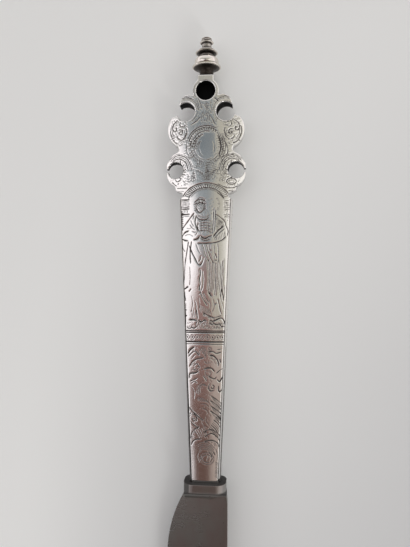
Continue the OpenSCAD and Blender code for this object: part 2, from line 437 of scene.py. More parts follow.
class DepthMap:
    """Depth and tarnish of the engraver's cuts over the handle's face, on a fine regular raster."""

    def __init__(self, half_w: float, length: float, step: float = 0.05) -> None:
        """Start with an uncut face.

        Args:
            half_w: Distance from the middle line to the raster's side.
            length: Length of the raster from the bolster.
            step: Spacing of the raster.
        """
        self.half_w = half_w
        self.step = step
        self.across = np.arange(-half_w, half_w + step, step)
        self.along = np.arange(-step, length + step, step)
        self.depth = np.zeros((len(self.along), len(self.across)))
        self.dirt = np.zeros_like(self.depth)
        self.strokes = 0

    def cut(self, points: Iterable[Point], tool: Graver = LINE) -> None:
        """Cut one line that starts and ends thin, as a hand-held graver leaves it.

        Args:
            points: Places along the line.
            tool: The tool that cuts it.
        """
        path = np.array(list(points), dtype=float)
        done = measured(path)
        total = done[-1]
        if total < 1e-6:
            return
        self.strokes += 1
        swell = PRESS * math.sin(self.strokes * 2.4)
        for i in range(len(path) - 1):
            middle = (done[i] + done[i + 1]) / 2
            ends = min(1.0, END_FULL + min(middle, total - middle) / END_RUN)
            hand = 1 + swell + WAVER * math.sin(middle * 3.1 + self.strokes)
            self._segment(path[i], path[i + 1], tool.width * ends * hand / 2, tool.depth * ends * hand,
                          tool.tarnish * (END_TARNISH + (1 - END_TARNISH) * ends))

    def _segment(self, start: Array, end: Array, reach: float, depth: float, dirt: float) -> None:
        """Cut one straight step of a line.

        Args:
            start: Where it starts.
            end: Where it ends.
            reach: Half its width.
            depth: Its depth in the middle.
            dirt: How much tarnish it holds in the middle.
        """
        brink = SHOULDER * reach
        first = np.array([self.across[0], self.along[0]])
        low = ((np.minimum(start, end) - brink - first) / self.step).astype(int)
        high = ((np.maximum(start, end) + brink - first) / self.step).astype(int) + 2
        columns, rows = (slice(max(0, a), max(0, b)) for a, b in zip(low, high))
        x = self.across[columns][None, :]
        y = self.along[rows][:, None]
        run = end - start
        span = max(float(run @ run), 1e-12)
        share = np.clip(((x - start[0]) * run[0] + (y - start[1]) * run[1]) / span, 0, 1)
        away = np.hypot(x - start[0] - share * run[0], y - start[1] - share * run[1])
        groove = np.clip(1 - (away / reach) ** 2, 0, 1)
        sunk = (1 - WEAR) * groove + WEAR * np.clip(1 - (away / brink) ** 2, 0, 1) ** 2
        for layer, most in ((self.depth, depth * sunk), (self.dirt, dirt * np.minimum(PACKED * groove, 1))):
            window = layer[rows, columns]
            np.maximum(window, most, out=window)

    def tarnish(self, x: Array, y: Array) -> Array:
        """Return how much tarnish some places hold."""
        return self._blend(self.dirt, x, y)

    def sample(self, x: Array, y: Array) -> Array:
        """Return how deep some places are cut."""
        return self._blend(self.depth, x, y)

    def _blend(self, d: Array, x: Array, y: Array) -> Array:
        """Blend a layer between the raster's points.

        Args:
            d: The layer.
            x: Distance from the middle line.
            y: Distance from the bolster.

        Returns:
            The layer's value at each place.
        """
        fx = np.clip((x - self.across[0]) / self.step, 0, len(self.across) - 1.001)
        fy = np.clip((y - self.along[0]) / self.step, 0, len(self.along) - 1.001)
        i, j = fx.astype(int), fy.astype(int)
        u, v = fx - i, fy - j
        low = d[j, i] * (1 - u) + d[j, i + 1] * u
        high = d[j + 1, i] * (1 - u) + d[j + 1, i + 1] * u
        return low * (1 - v) + high * v


def spline(*knots: Point, closed: bool = False, step: float = POINT_GAP) -> Array:
    """Return a smooth line through some knots.

    Args:
        knots: Places that the line passes through.
        closed: Whether the line runs back to its start.
        step: Rough spacing of the points.

    Returns:
        Points along the line, one a row.
    """
    k = np.array(knots, dtype=float)
    if closed:
        k = np.vstack([k[-1], k, k[0], k[1]])
    else:
        k = np.vstack([2 * k[0] - k[1], k, 2 * k[-1] - k[-2]])
    found = []
    for a, b, c, d in zip(k, k[1:], k[2:], k[3:]):
        count = max(2, int(np.hypot(*(c - b)) / step) + 1)
        t = np.linspace(0, 1, count, endpoint=False)[:, None]
        straight = 2 * b + (c - a) * t
        bend = (2 * a - 5 * b + 4 * c - d) * t**2
        twist = (3 * b - a - 3 * c + d) * t**3
        found.append(0.5 * (straight + bend + twist))
    found.append(k[-2][None, :])
    return np.vstack(found)


def traced(line: Iterable[Point]) -> Array:
    """Return the points of a line, smoothed if it is given as a tuple of knots."""
    return spline(*line) if isinstance(line, tuple) else np.array(list(line), dtype=float)


def on_side(side: int, *lines: Iterable[Point]) -> list[Array]:
    """Return the points of some lines, mirrored if the side is -1."""
    return [traced(line) * (side, 1) for line in lines]


def measured(path: Array) -> Array:
    """Return how far along a path each of its points lies."""
    return np.concatenate([[0], np.cumsum(np.hypot(*np.diff(path, axis=0).T))])


def point_at(path: Array, done: Array, stop: float) -> Array:
    """Return the point of a measured path at a distance from its start."""
    return np.array([np.interp(stop, done, path[:, k]) for k in (0, 1)])


def oval(centre: Point, rx: float, ry: float, start: float = 0, end: float = 360) -> Array:
    """Return a part of an oval.

    Args:
        centre: Middle of the oval.
        rx: Half its width.
        ry: Half its height.
        start: Angle where the line starts, in degrees.
        end: Angle where it ends, in degrees.

    Returns:
        Points along the line, one a row.
    """
    count = max(4, int(abs(end - start) / 360 * math.tau * max(rx, ry) / POINT_GAP) + 1)
    angle = np.radians(np.linspace(start, end, count))
    return np.column_stack([centre[0] + rx * np.cos(angle), centre[1] + ry * np.sin(angle)])


def volute(centre: Point, outer: float, start: float, turn: float, inner: float = 0.25) -> Array:
    """Return a spiral that winds in towards its eye.

    Args:
        centre: The spiral's eye.
        outer: Radius where it starts.
        start: Angle where it starts, in degrees.
        turn: How far it winds, in degrees, positive anticlockwise.
        inner: Radius where it ends.

    Returns:
        Points along the line, one a row.
    """
    count = max(8, int(abs(turn) / 12))
    share = np.linspace(0, 1, count)
    angle = np.radians(start + turn * share)
    radius = outer + (inner - outer) * share**0.8
    return np.column_stack([centre[0] + radius * np.cos(angle), centre[1] + radius * np.sin(angle)])


class Engraving:
    """The engraver's whole design on one broad face of the handle."""

    def __init__(self, shaft: Shaft, head: HeadShape) -> None:
        """Cut the design.

        Args:
            shaft: Outline of the shaft.
            head: Outline of the head.
        """
        self.shaft = shaft
        self.head = head
        half_w, head_l = 8.8, 28.0
        self.map = DepthMap(half_w, shaft.length + head_l)
        self.rims()
        self.crest()
        self.lobes()
        self.medallion()
        self.foliage_under_medallion()
        self.arch()
        self.pillars()
        self.figure()
        self.folds()
        self.ground()
        self.band()
        self.scrolls()

    def cut(self, tool: Graver, *lines: Iterable[Point]) -> None:
        """Cut some lines with one tool."""
        for line in lines:
            self.map.cut(traced(line), tool)

    def both(self, tool: Graver, *lines: Iterable[Point]) -> None:
        """Cut some lines and their mirror images with one tool."""
        for line in lines:
            self.cut(tool, *on_side(1, line), *on_side(-1, line))

    def hatch(self, tool: Graver, start: tuple[Point, Point], end: tuple[Point, Point], count: int,
              bow: float = 0.0) -> None:
        """Cut a row of lines between two guides.

        Args:
            tool: The tool that cuts them.
            start: First and last place where the lines start.
            end: First and last place where they end.
            count: How many lines are cut.
            bow: How far each line bows to its left.
        """
        for share in np.linspace(0, 1, count):
            a = np.array(start[0]) * (1 - share) + np.array(start[1]) * share
            b = np.array(end[0]) * (1 - share) + np.array(end[1]) * share
            run = b - a
            middle = (a + b) / 2 + bow * np.array([-run[1], run[0]]) / max(np.hypot(*run), 1e-6)
            self.map.cut(spline(tuple(a), tuple(middle), tuple(b)), tool)

    def fringe(self, tool: Graver, path: Iterable[Point], reach: float, lean: float = 70,
               gap: float = 0.3) -> None:
        """Cut a row of short strokes that spring from a line.

        Args:
            tool: The tool that cuts them.
            path: The line that they spring from.
            reach: Length of a stroke, negative for the line's right side.
            lean: Angle between a stroke and the line, in degrees.
            gap: Spacing along the line.
        """
        points = traced(path)
        done = measured(points)
        turn = math.radians(lean) * (1 if reach > 0 else -1)
        ahead_by = 0.05
        for stop in np.arange(gap / 2, done[-1] - ahead_by, gap):
            foot, ahead = point_at(points, done, stop), point_at(points, done, stop + ahead_by)
            angle = math.atan2(*(ahead - foot)[::-1]) + turn
            length = abs(reach) * (0.75 + 0.35 * math.sin(stop * 5.3))
            self.map.cut([foot, foot + length * np.array([math.cos(angle), math.sin(angle)])], tool)

    def matting(self, low: Point, high: Point, count: int, size: float = 0.3, tool: Graver = HAIR) -> None:
        """Cut many short curved nicks over a patch, as a matted ground.

        Args:
            low: The patch's lower left corner.
            high: Its upper right corner.
            count: How many nicks are cut.
            size: Length of a nick.
            tool: The tool that cuts them.
        """
        across, along, turned, sized = SPREAD
        for i in range(1, count + 1):
            x = low[0] + (high[0] - low[0]) * (i * across % 1)
            y = low[1] + (high[1] - low[1]) * (i * along % 1)
            start = (i * turned) % 360
            bend = size * (0.35 + 0.6 * (i * sized % 1))
            self.map.cut(oval((x, y), bend, bend, start, start + 100), tool)

    def frond(self, tool: Graver, spine: Iterable[Point], width: float, lobes: int) -> None:
        """Cut a curling leaf: its spine, and hooked lobes on both sides that shrink to its tip.

        Args:
            tool: The tool of the spine and the lobes.
            spine: The line along the middle of the leaf.
            width: Reach of the lobes at the root.
            lobes: How many lobes each side has.
        """
        spine = traced(spine)
        self.map.cut(spine, tool)
        done = measured(spine)
        for i in range(lobes):
            at = done[-1] * (0.08 + 0.8 * i / lobes)
            foot, ahead = point_at(spine, done, at), point_at(spine, done, at + 0.1)
            run = (ahead - foot) / max(np.hypot(*(ahead - foot)), 1e-6)
            reach = width * (1 - 0.65 * i / lobes)
            for side in (-1, 1):
                out = side * np.array([-run[1], run[0]])
                knots = (foot, foot + 0.6 * reach * out + 0.15 * reach * run,
                         foot + reach * out + 0.7 * reach * run,
                         foot + 0.55 * reach * out + 1.05 * reach * run)
                self.map.cut(spline(*(tuple(k) for k in knots)), tool)

    def rims(self) -> None:
        """Cut the lines that run round the holes."""
        up = self.head.shoulder
        ring = (0.0, up + self.head.ring_y)
        self.cut(HAIR, oval(ring, 2.62, 2.62, 150, 215), oval(ring, 2.7, 2.7, -48, -10))
        hole = (self.head.upper_hole[0], up + self.head.upper_hole[1])
        self.both(HAIR, oval(hole, 2.75, 2.75, 70, 175), oval(hole, 3.4, 3.3, 82, 118))
        self.both(LINE, oval(hole, 3.05, 3.05, 72, 128))
        self.cut(HAIR, oval(hole, 2.45, 2.45, 190, 320))
        self.fringe(HAIR, oval((-hole[0], hole[1]), 2.8, 2.8, 100, 20), 0.35)
        for side in (-1, 1):
            x, y = side * self.head.lower_hole[0], up + self.head.lower_hole[1]
            for tool, grow in ((LINE, 0.0), (HAIR, -0.38), (HAIR, 0.3), (LINE, -0.75)):
                self.cut(tool,
                         ((x + side * (1.2 + grow), y + 2.0 + grow), (x + side * 0.35, y + 2.9 + grow),
                          (x - side * 0.9, y + 3.25 + grow),
                          (x - side * (2.5 + 0.8 * grow), y + 2.6 + 0.8 * grow),
                          (x - side * (3.3 + grow), y + 1.3), (x - side * (3.7 + grow), y - 0.2)))
            path = oval((x, y), 2.35, 2.35, 90 + side * 20, 90 + side * 150)
            self.fringe(LINE, path, side * 0.6, 60, 0.6)

    def crest(self) -> None:
        """Cut the strap, the leaf and the small strokes between the three upper holes."""
        self.cut(LINE, ((-1.7, 84.9), (-1.2, 83.8), (-0.8, 82.4)), ((1.9, 84.8), (2.4, 84.4), (2.8, 83.9)))
        self.cut(HAIR, ((-2.0, 84.6), (-1.6, 83.3), (-1.5, 82.0)), ((1.3, 84.2), (1.1, 83.0), (1.5, 81.6)))
        self.both(HAIR, ((0.1, 79.7), (0.5, 80.5), (0.05, 81.5)))
        self.frond(HAIR, ((0.1, 83.6), (0.4, 82.8), (0.2, 81.8)), 0.45, 3)
        self.cut(HAIR, oval((0.0, 80.0), 0.5, 0.3, 190, 350), ((-0.7, 79.5), (-0.9, 80.6), (-0.4, 81.8)),
                 ((0.7, 79.5), (0.9, 80.6), (0.5, 81.8)))
        self.cut(LINE, ((1.0, 80.9), (1.6, 79.9), (2.1, 78.9)), ((-1.2, 80.6), (-2.0, 79.7), (-3.2, 79.0)))
        self.cut(HAIR, ((-3.4, 79.6), (-2.2, 80.6), (-1.6, 81.8)), ((2.0, 79.4), (2.7, 80.3), (2.9, 81.0)))
        self.matting((-2.6, 78.8), (2.6, 83.8), 90, 0.34)

    def lobes(self) -> None:
        """Cut the leaf work on the upper lobes and the lower corners."""
        for side in (-1, 1):
            self.cut(LINE, *on_side(
                side, ((7.7, 78.9), (7.9, 77.6), (7.5, 76.3), (6.9, 75.4), (6.1, 74.9)),
                ((6.3, 80.1), (7.0, 79.6), (7.4, 78.8), (7.2, 77.9), (6.6, 77.9), (6.5, 78.5), (6.9, 78.6)),
                ((4.4, 78.9), (5.2, 78.6), (5.7, 79.1), (5.5, 79.8)),
                volute((5.6, 77.4), 0.75, 60, 400, 0.12),
                ((6.4, 76.8), (6.0, 76.0), (5.2, 75.8), (4.5, 76.4), (4.1, 77.6), (4.3, 78.3))))
            self.cut(HAIR, *on_side(
                side, ((7.3, 78.2), (7.4, 77.2), (6.9, 76.2)), ((5.0, 75.0), (5.6, 74.6), (6.4, 74.5)),
                ((4.7, 77.9), (4.5, 77.0), (4.9, 76.3)), ((5.9, 79.9), (6.4, 79.4), (6.3, 78.9))))
            self.fringe(HAIR, *on_side(side, ((6.9, 75.6), (7.6, 76.8), (7.7, 78.2))), side * 0.4, 60, 0.35)
            low_x, high_x = sorted((4.0 * side, 7.6 * side))
            self.matting((low_x, 74.8), (high_x, 80.4), 120, 0.34)
        self.cut(BOLD, [(7.35, 75.7), (7.5, 75.5)], [(7.6, 65.9), (7.65, 65.8)],
                 [(7.05, 64.75), (7.2, 64.6)], [(6.3, 64.1), (5.8, 64.25)])
        self.cut(LINE, ((-6.9, 67.2), (-6.4, 66.6), (-5.7, 66.8), (-5.5, 67.3)),
                 [(-6.1, 66.2), (-6.1, 65.9)], ((-7.6, 66.6), (-6.9, 65.9), (-6.3, 65.5)),
                 [(-6.3, 65.1), (-4.1, 65.1)], oval((5.7, 66.5), 1.05, 0.65),
                 ((2.7, 65.9), (4.3, 65.2), (6.0, 65.1), (7.2, 65.6)))
        self.cut(HAIR, oval((5.7, 66.5), 0.6, 0.32), ((-5.2, 66.9), (-4.6, 66.4), (-4.4, 65.6)),
                 [(-5.9, 64.4), (-4.8, 64.4)], ((4.9, 64.4), (5.6, 64.5), (6.2, 64.6)))
        self.frond(HAIR, ((3.6, 66.3), (4.1, 68.0), (4.0, 69.8), (4.4, 71.4)), 0.5, 6)
        self.frond(HAIR, ((-3.6, 66.3), (-3.7, 67.3), (-3.9, 68.3)), 0.4, 3)
        self.fringe(HAIR, ((3.2, 71.9), (3.5, 70.2), (3.3, 68.2), (2.9, 66.6)), 0.4, 50, 0.28)
        self.matting((-7.8, 65.3), (-3.8, 71.8), 90)
        self.matting((3.8, 65.2), (8.0, 72.6), 100, 0.32)

    def medallion(self) -> None:
        """Cut the plain round field, the leaves beside it and its wreath."""
        centre = (0.2, 74.2)
        self.cut(LINE, oval(centre, 4.4, 4.45, 62, 158), oval(centre, 4.0, 4.1, 52, 165),
                 oval(centre, 3.2, 3.3, 75, 150))
        self.cut(HAIR, oval(centre, 4.4, 4.45, 158, 215), oval(centre, 3.4, 3.55, 150, 260),
                 oval(centre, 2.7, 3.0, 165, 300), oval(centre, 3.7, 3.9, -60, 30),
                 oval(centre, 3.1, 3.4, -75, 45), oval(centre, 4.2, 4.4, -40, 40))
        for angle in np.arange(48, 190, 8):
            bead = spoke(centre, 3.72, 3.82, math.radians(angle))
            self.cut(LINE, oval(bead, 0.16, 0.17, angle, angle + 200))
        for angle in np.arange(196, 400, 7.5):
            turn = math.radians(angle)
            self.cut(HAIR, [spoke(centre, 3.1, 3.3, turn), spoke(centre, 4.0, 4.1, turn + 0.12)])
        self.frond(LINE, ((-2.9, 73.9), (-2.5, 75.2), (-1.6, 76.2), (-0.5, 76.8)), 0.6, 5)
        self.frond(HAIR, ((-2.2, 73.6), (-1.7, 74.7), (-0.9, 75.4)), 0.42, 4)
        self.hatch(HAIR, ((2.6, 76.6), (2.9, 71.6)), ((3.9, 76.2), (4.2, 71.9)), 13, 0.1)
        self.cut(LINE, ((3.7, 75.8), (4.6, 74.6), (4.9, 73.2), (4.6, 72.2)),
                 ((2.9, 76.4), (3.4, 74.4), (3.0, 72.0)))
        self.cut(HAIR, oval((0.5, 73.9), 1.5, 2.1, -30, 40), oval((0.4, 74.0), 1.8, 2.4, 150, 240))
        self.matting((-3.4, 71.0), (-1.6, 73.4), 36)
        self.matting((-4.6, 71.2), (-3.0, 77.2), 46, 0.32)
        self.matting((2.2, 71.0), (5.4, 77.0), 60, 0.32)
        self.matting((-2.5, 77.2), (2.8, 78.7), 50)

    def foliage_under_medallion(self) -> None:
        """Cut the spray of leaves between the medallion and the arch."""
        for i in range(6):
            y = 70.4 - 0.5 * i
            self.cut(HAIR, ((-0.2, y - 0.1), (1.0, y + 0.15), (2.4, y - 0.3)))
        self.fringe(HAIR, ((0.2, 70.3), (0.5, 68.7), (0.4, 67.1)), 0.4, 60)
        self.frond(HAIR, ((-2.5, 66.4), (-2.7, 67.6), (-2.4, 69.0)), 0.5, 4)
        for side in (-1, 1):
            self.frond(HAIR,
                       ((0.3, 66.6), (0.3 + 0.7 * side, 67.6), (0.3 + 1.6 * side, 68.7),
                        (0.3 + 2.6 * side, 69.0)), 0.45, 6)
        self.frond(HAIR, ((0.3, 67.2), (0.35, 68.6), (0.3, 70.0)), 0.42, 6)
        self.cut(HAIR, volute((2.9, 68.6), 0.6, 200, 400), volute((-1.0, 70.0), 0.55, 20, -380),
                 ((-2.0, 69.4), (-1.7, 70.3), (-1.9, 71.0)))
        self.matting((-3.0, 66.6), (3.0, 70.8), 80)

    def arch(self) -> None:
        """Cut the round arch over the figure, with its ring of stones."""
        centre = (0.2, 61.45)
        outer, inner = (5.6, 4.6), (4.15, 3.6)
        self.cut(LINE, oval(centre, *outer, 22, 158), oval(centre, *inner, 20, 160))
        self.cut(HAIR, oval(centre, outer[0] - 0.3, outer[1] - 0.3, 24, 156),
                 oval(centre, inner[0] - 0.3, inner[1] - 0.3, 30, 150))
        for angle in np.arange(26, 158, 5.5):
            turn = math.radians(angle)
            low = spoke(centre, *inner, turn)
            high = spoke(centre, outer[0] - 0.35, outer[1] - 0.35, turn)
            self.cut(LINE if angle > 80 else HAIR, [low, high])
        self.cut(LINE, ((2.6, 63.9), (3.4, 63.4), (4.0, 62.6)))
        self.fringe(HAIR, ((2.8, 60.0), (3.2, 61.4), (2.7, 63.0)), 0.45, 65, 0.28)

    def pillars(self) -> None:
        """Cut the pillars that carry the arch."""
        for y, tool in ((62.5, BOLD), (62.1, HAIR), (60.9, LINE), (60.5, BOLD), (59.3, BOLD), (58.9, HAIR)):
            self.cut(tool, ((-5.5, y), (-4.4, y - 0.08), (-3.5, y)))
            self.cut(HAIR, ((4.0, y - 0.1), (4.7, y - 0.25), (5.5, y - 0.1)))
        self.hatch(HAIR, ((-5.3, 62.0), (-3.6, 62.0)), ((-5.1, 61.0), (-3.7, 61.0)), 7, 0.08)
        self.hatch(HAIR, ((-5.3, 60.3), (-3.8, 60.3)), ((-5.2, 59.4), (-4.0, 59.4)), 5, -0.08)
        self.hatch(HAIR, ((4.1, 61.8), (5.4, 61.8)), ((4.2, 60.9), (5.3, 60.9)), 5, 0.08)
        self.cut(HAIR, [(-5.1, 58.6), (-5.1, 56.4)], [(5.0, 59.6), (5.0, 58.2)])
        self.cut(LINE, *([(-5.3, y), (-4.95, y - 0.2)] for y in np.arange(59.6, 55.6, -0.45)))
        self.matting((-5.3, 55.2), (-4.8, 60.0), 14, 0.26)
        self.matting((4.2, 57.4), (5.3, 61.8), 16, 0.26)

    def figure(self) -> None:
        """Cut the standing draped figure from its head to its hips."""
        face = (-1.1, 60.5)
        self.cut(LINE, oval(face, 0.66, 0.88, 190, 350))
        self.cut(HAIR, oval(face, 0.66, 0.88, -10, 190))
        # The brows, the nose and the mouth
        for feature in (((-0.4, 0.1), (-0.16, 0.13)), ((0.16, 0.13), (0.4, 0.1)),
                        ((0.0, 0.04), (0.03, -0.22)), ((-0.16, -0.46), (0.16, -0.46))):
            self.cut(HAIR, [(face[0] + x, face[1] + y) for x, y in feature])
        # The curls of the hair
        for i, angle in enumerate(np.arange(-35, 220, 18)):
            eye = spoke((face[0], face[1] + 0.2), 1.0, 1.15, math.radians(angle))
            self.cut(LINE if i % 2 else HAIR, volute(eye, 0.3, angle, 300, 0.08))
        self.cut(LINE, ((-2.3, 61.9), (-1.2, 62.5), (0.1, 62.1)), ((-2.5, 61.4), (-1.2, 61.75), (0.3, 61.5)))
        self.cut(HAIR, ((-2.0, 62.3), (-1.1, 62.9), (0.0, 62.6)))
        self.cut(LINE, ((-1.9, 58.7), (-1.1, 58.05), (0.0, 58.0), (0.8, 58.5)))
        self.cut(HAIR, ((-1.7, 59.3), (-1.0, 58.7), (0.1, 58.6), (0.9, 59.0)))
        self.fringe(HAIR, ((-1.8, 58.9), (-1.0, 58.3), (0.1, 58.2), (0.9, 58.7)), 0.35, 80, 0.24)
        self.cut(LINE, ((-2.4, 59.5), (-3.0, 58.8), (-3.9, 57.6), (-5.3, 55.8)),
                 ((2.3, 59.2), (3.1, 58.7), (4.2, 57.7), (4.5, 56.6)), ((-2.4, 59.0), (-2.7, 58.2)),
                 ((1.9, 60.6), (1.8, 58.8), (1.7, 56.6), (1.5, 55.0)),
                 ((2.25, 60.2), (2.2, 58.6), (2.1, 56.6), (1.9, 55.4)))
        self.fringe(HAIR, ((2.3, 58.9), (3.0, 58.2), (3.8, 57.2), (4.2, 56.5)), -0.6, 75)
        self.hatch(HAIR, ((2.3, 58.3), (2.3, 55.9)), ((4.0, 57.4), (3.0, 55.9)), 9, 0.1)
        self.cut(LINE, ((-1.9, 59.0), (-2.2, 57.6), (-1.9, 56.4), (-1.5, 55.5)),
                 ((-1.5, 57.4), (-1.7, 56.4), (-1.2, 55.4)))
        self.cut(HAIR, ((-2.9, 55.5), (-2.3, 55.3), (-1.9, 55.4)), ((-2.2, 54.6), (-1.8, 55.1), (-1.6, 55.8)))
        self.cut(BOLD, ((-5.2, 54.3), (-4.5, 55.2), (-3.6, 55.6)),
                 ((-2.5, 53.6), (-1.7, 53.8), (-1.2, 54.4)), ((-5.2, 53.8), (-4.5, 53.5), (-3.8, 53.4)))
        self.cut(HAIR, ((-4.6, 54.5), (-3.6, 54.8), (-2.6, 54.4)),
                 ((-3.4, 57.0), (-2.8, 56.2), (-2.2, 55.9)), ((-4.2, 56.2), (-3.4, 56.1), (-2.8, 56.6)),
                 ((-3.2, 58.0), (-2.9, 57.2), (-2.5, 56.6)))
        self.cut(BOLD, ((-1.0, 54.5), (-0.1, 53.9), (0.8, 54.3), (1.4, 54.5)))
        self.cut(LINE, ((-1.0, 53.9), (0.0, 53.4), (1.1, 53.7)))
        self.fringe(LINE, ((-0.9, 54.4), (0.0, 53.9), (1.4, 54.4)), -0.4, 80)
        self.cut(BOLD, ((1.8, 54.3), (2.7, 55.5), (3.9, 56.5)))
        self.cut(LINE, ((2.1, 54.0), (3.0, 55.0), (4.2, 56.1)), ((4.5, 56.7), (5.0, 55.6), (4.8, 54.4)))
        self.fringe(LINE, ((1.9, 54.3), (2.7, 55.4), (3.9, 56.4)), 0.35, 80)
        self.cut(LINE, ((-1.6, 52.8), (0.4, 52.8), (2.2, 53.0), (3.6, 53.5), (4.5, 54.3)))
        self.hatch(HAIR, ((-1.3, 57.6), (-1.2, 55.6)), ((1.3, 57.8), (1.4, 55.2)), 5, 0.25)
        self.hatch(HAIR, ((-0.8, 57.7), (1.4, 57.7)), ((-0.9, 54.9), (1.2, 54.9)), 4, 0.12)
        self.hatch(HAIR, ((2.2, 53.4), (4.3, 54.0)), ((2.0, 54.1), (4.2, 55.4)), 7)
        self.matting((-1.8, 55.2), (1.7, 62.6), 60)
        self.matting((-0.9, 54.8), (1.7, 58.0), 10, 0.26, LINE)

    def folds(self) -> None:
        """Cut the long folds of the figure's gown."""
        self.cut(LINE, ((-3.7, 53.2), (-4.1, 50.6), (-4.5, 48.0), (-4.6, 45.6), (-4.9, 43.2)),
                 ((-5.2, 52.6), (-4.9, 51.6), (-4.5, 51.0)), ((-3.0, 53.2), (-3.3, 50.8), (-3.2, 48.4)))
        self.cut(BOLD,
                 ((-3.5, 52.3), (-2.9, 50.8), (-2.3, 49.7), (-1.7, 48.5), (-1.1, 48.05), (-0.6, 48.7),
                  (-0.3, 49.6)))
        self.cut(LINE, ((-1.4, 48.7), (-1.05, 49.3), (-0.9, 50.0)),
                 ((0.3, 52.6), (0.7, 51.0), (1.3, 49.4), (1.8, 48.5)),
                 ((-0.6, 52.6), (-0.2, 51.4), (0.1, 50.2), (0.9, 48.7)),
                 ((0.9, 52.6), (1.0, 51.6), (1.3, 51.0)))
        self.cut(BOLD, [(2.2, 50.5), (2.5, 49.7)], [(2.2, 49.1), (2.5, 49.1)])
        self.cut(HAIR, ((-2.0, 52.7), (-1.5, 51.3), (-1.0, 50.6)), ((1.9, 52.6), (2.0, 51.0), (1.9, 49.0)),
                 ((2.7, 52.8), (2.9, 51.0), (2.9, 48.6)))
        self.cut(BOLD, ((-1.1, 47.1), (-1.0, 46.0), (-1.2, 45.0), (-1.05, 43.9), (-1.25, 43.2), (-1.1, 42.5)))
        self.cut(LINE, ((-0.6, 46.8), (-0.4, 45.2), (-0.5, 43.4), (-0.9, 42.3), (-1.3, 41.6)))
        for i in range(11):
            top, low = 0.5 + 0.36 * i, 0.6 + 0.33 * i
            self.cut(LINE if i % 4 == 1 else HAIR,
                     ((top, 49.0 + 0.5 * math.sin(2.1 * i)), (low + 0.1, 45.2),
                      (low - 0.15, 41.8 + 0.8 * math.cos(1.7 * i))))
        self.cut(HAIR, ((-3.4, 47.6), (-3.3, 45.4), (-3.4, 43.6)),
                 ((-3.0, 41.2), (-2.7, 39.4), (-3.1, 37.6)), ((-2.2, 40.2), (-1.9, 38.8), (-2.1, 37.2)),
                 ((-1.4, 41.0), (-1.2, 39.6), (-1.3, 38.2)))
        self.cut(BOLD, [(-5.0, 42.6), (-4.4, 42.8), (-3.8, 43.2)], ((0.8, 42.1), (1.1, 41.6), (1.5, 41.1)),
                 [(2.2, 39.4), (2.4, 39.6)])
        self.cut(LINE, [(-3.5, 42.2), (-3.1, 42.7)], ((-4.5, 42.2), (-4.5, 41.3), (-4.3, 40.1)),
                 [(-4.35, 40.7), (-4.3, 40.1)], ((-1.0, 42.1), (-0.6, 41.0), (-0.2, 40.2), (0.5, 39.2)),
                 ((-0.4, 42.0), (0.1, 40.9), (0.8, 39.8)),
                 ((2.8, 40.6), (3.1, 39.2), (3.3, 38.2), (3.6, 37.2)),
                 ((3.6, 42.8), (3.9, 41.4), (4.0, 40.2)))
        self.cut(HAIR, ((3.2, 42.4), (3.4, 40.8), (3.9, 39.2), (4.1, 38.2)),
                 ((4.2, 43.6), (4.3, 42.2), (4.1, 40.8)), ((1.8, 40.6), (2.0, 39.0), (1.6, 37.8)),
                 ((0.9, 40.4), (1.2, 39.2), (1.0, 38.2)))
        self.cut(LINE, ((-1.9, 38.3), (-1.7, 37.2), (-1.6, 36.2)),
                 ((-0.4, 37.6), (0.6, 37.0), (2.0, 36.5), (3.6, 36.9)))
        self.hatch(HAIR, ((-2.9, 38.2), (-2.0, 38.2)), ((-2.7, 36.5), (-1.9, 36.3)), 3)
        self.hatch(HAIR, ((-1.2, 39.4), (0.9, 38.4)), ((-0.9, 37.6), (1.4, 37.0)), 8)
        self.fringe(LINE, ((-0.4, 37.5), (0.6, 36.9), (2.0, 36.4)), -0.45, 60)
        self.cut(BOLD, *([(-4.7, y), (-4.1, y)] for y in (38.1, 36.8)))
        self.cut(LINE, *([(-4.75, y), (-4.5, y - 0.15)] for y in np.arange(41.4, 38.4, -0.5)),
                 [(-4.3, 39.6), (-4.3, 35.0)])

    def ground(self) -> None:
        """Cut the hem, the feet and the ground that the figure stands on."""
        self.cut(BOLD, ((-3.4, 35.9), (-2.6, 35.95), (-1.7, 35.8)),
                 ((-1.4, 35.8), (-0.7, 35.5), (-0.2, 35.9), (0.3, 35.7)),
                 ((1.0, 35.8), (1.8, 35.7), (2.5, 36.0), (3.4, 36.4), (3.9, 36.2)),
                 ((3.8, 36.3), (4.2, 35.7), (4.5, 34.9)))
        self.cut(LINE, oval((-3.4, 34.5), 0.5, 0.5, 170, 350), oval((-2.4, 34.6), 0.5, 0.5, 190, 380),
                 ((-2.0, 34.7), (-1.9, 35.3), (-1.6, 35.6)), ((0.9, 35.6), (1.4, 35.0), (2.0, 35.1)),
                 ((1.6, 35.5), (2.3, 35.0), (3.0, 35.0)), ((3.0, 35.4), (3.5, 34.6), (4.1, 34.5)))
        self.fringe(LINE, [(-1.6, 34.9), (2.0, 34.9)], 0.5, 75, 0.34)
        self.fringe(LINE, [(-2.0, 34.3), (3.0, 34.2)], 0.4, 105, 0.36)
        self.fringe(HAIR, [(-4.2, 33.95), (4.4, 33.95)], 0.35, 60)
        self.hatch(HAIR, ((2.2, 35.3), (4.3, 35.6)), ((2.7, 34.0), (4.6, 34.3)), 7)
        self.matting((-4.2, 34.0), (4.4, 35.6), 56, 0.28)

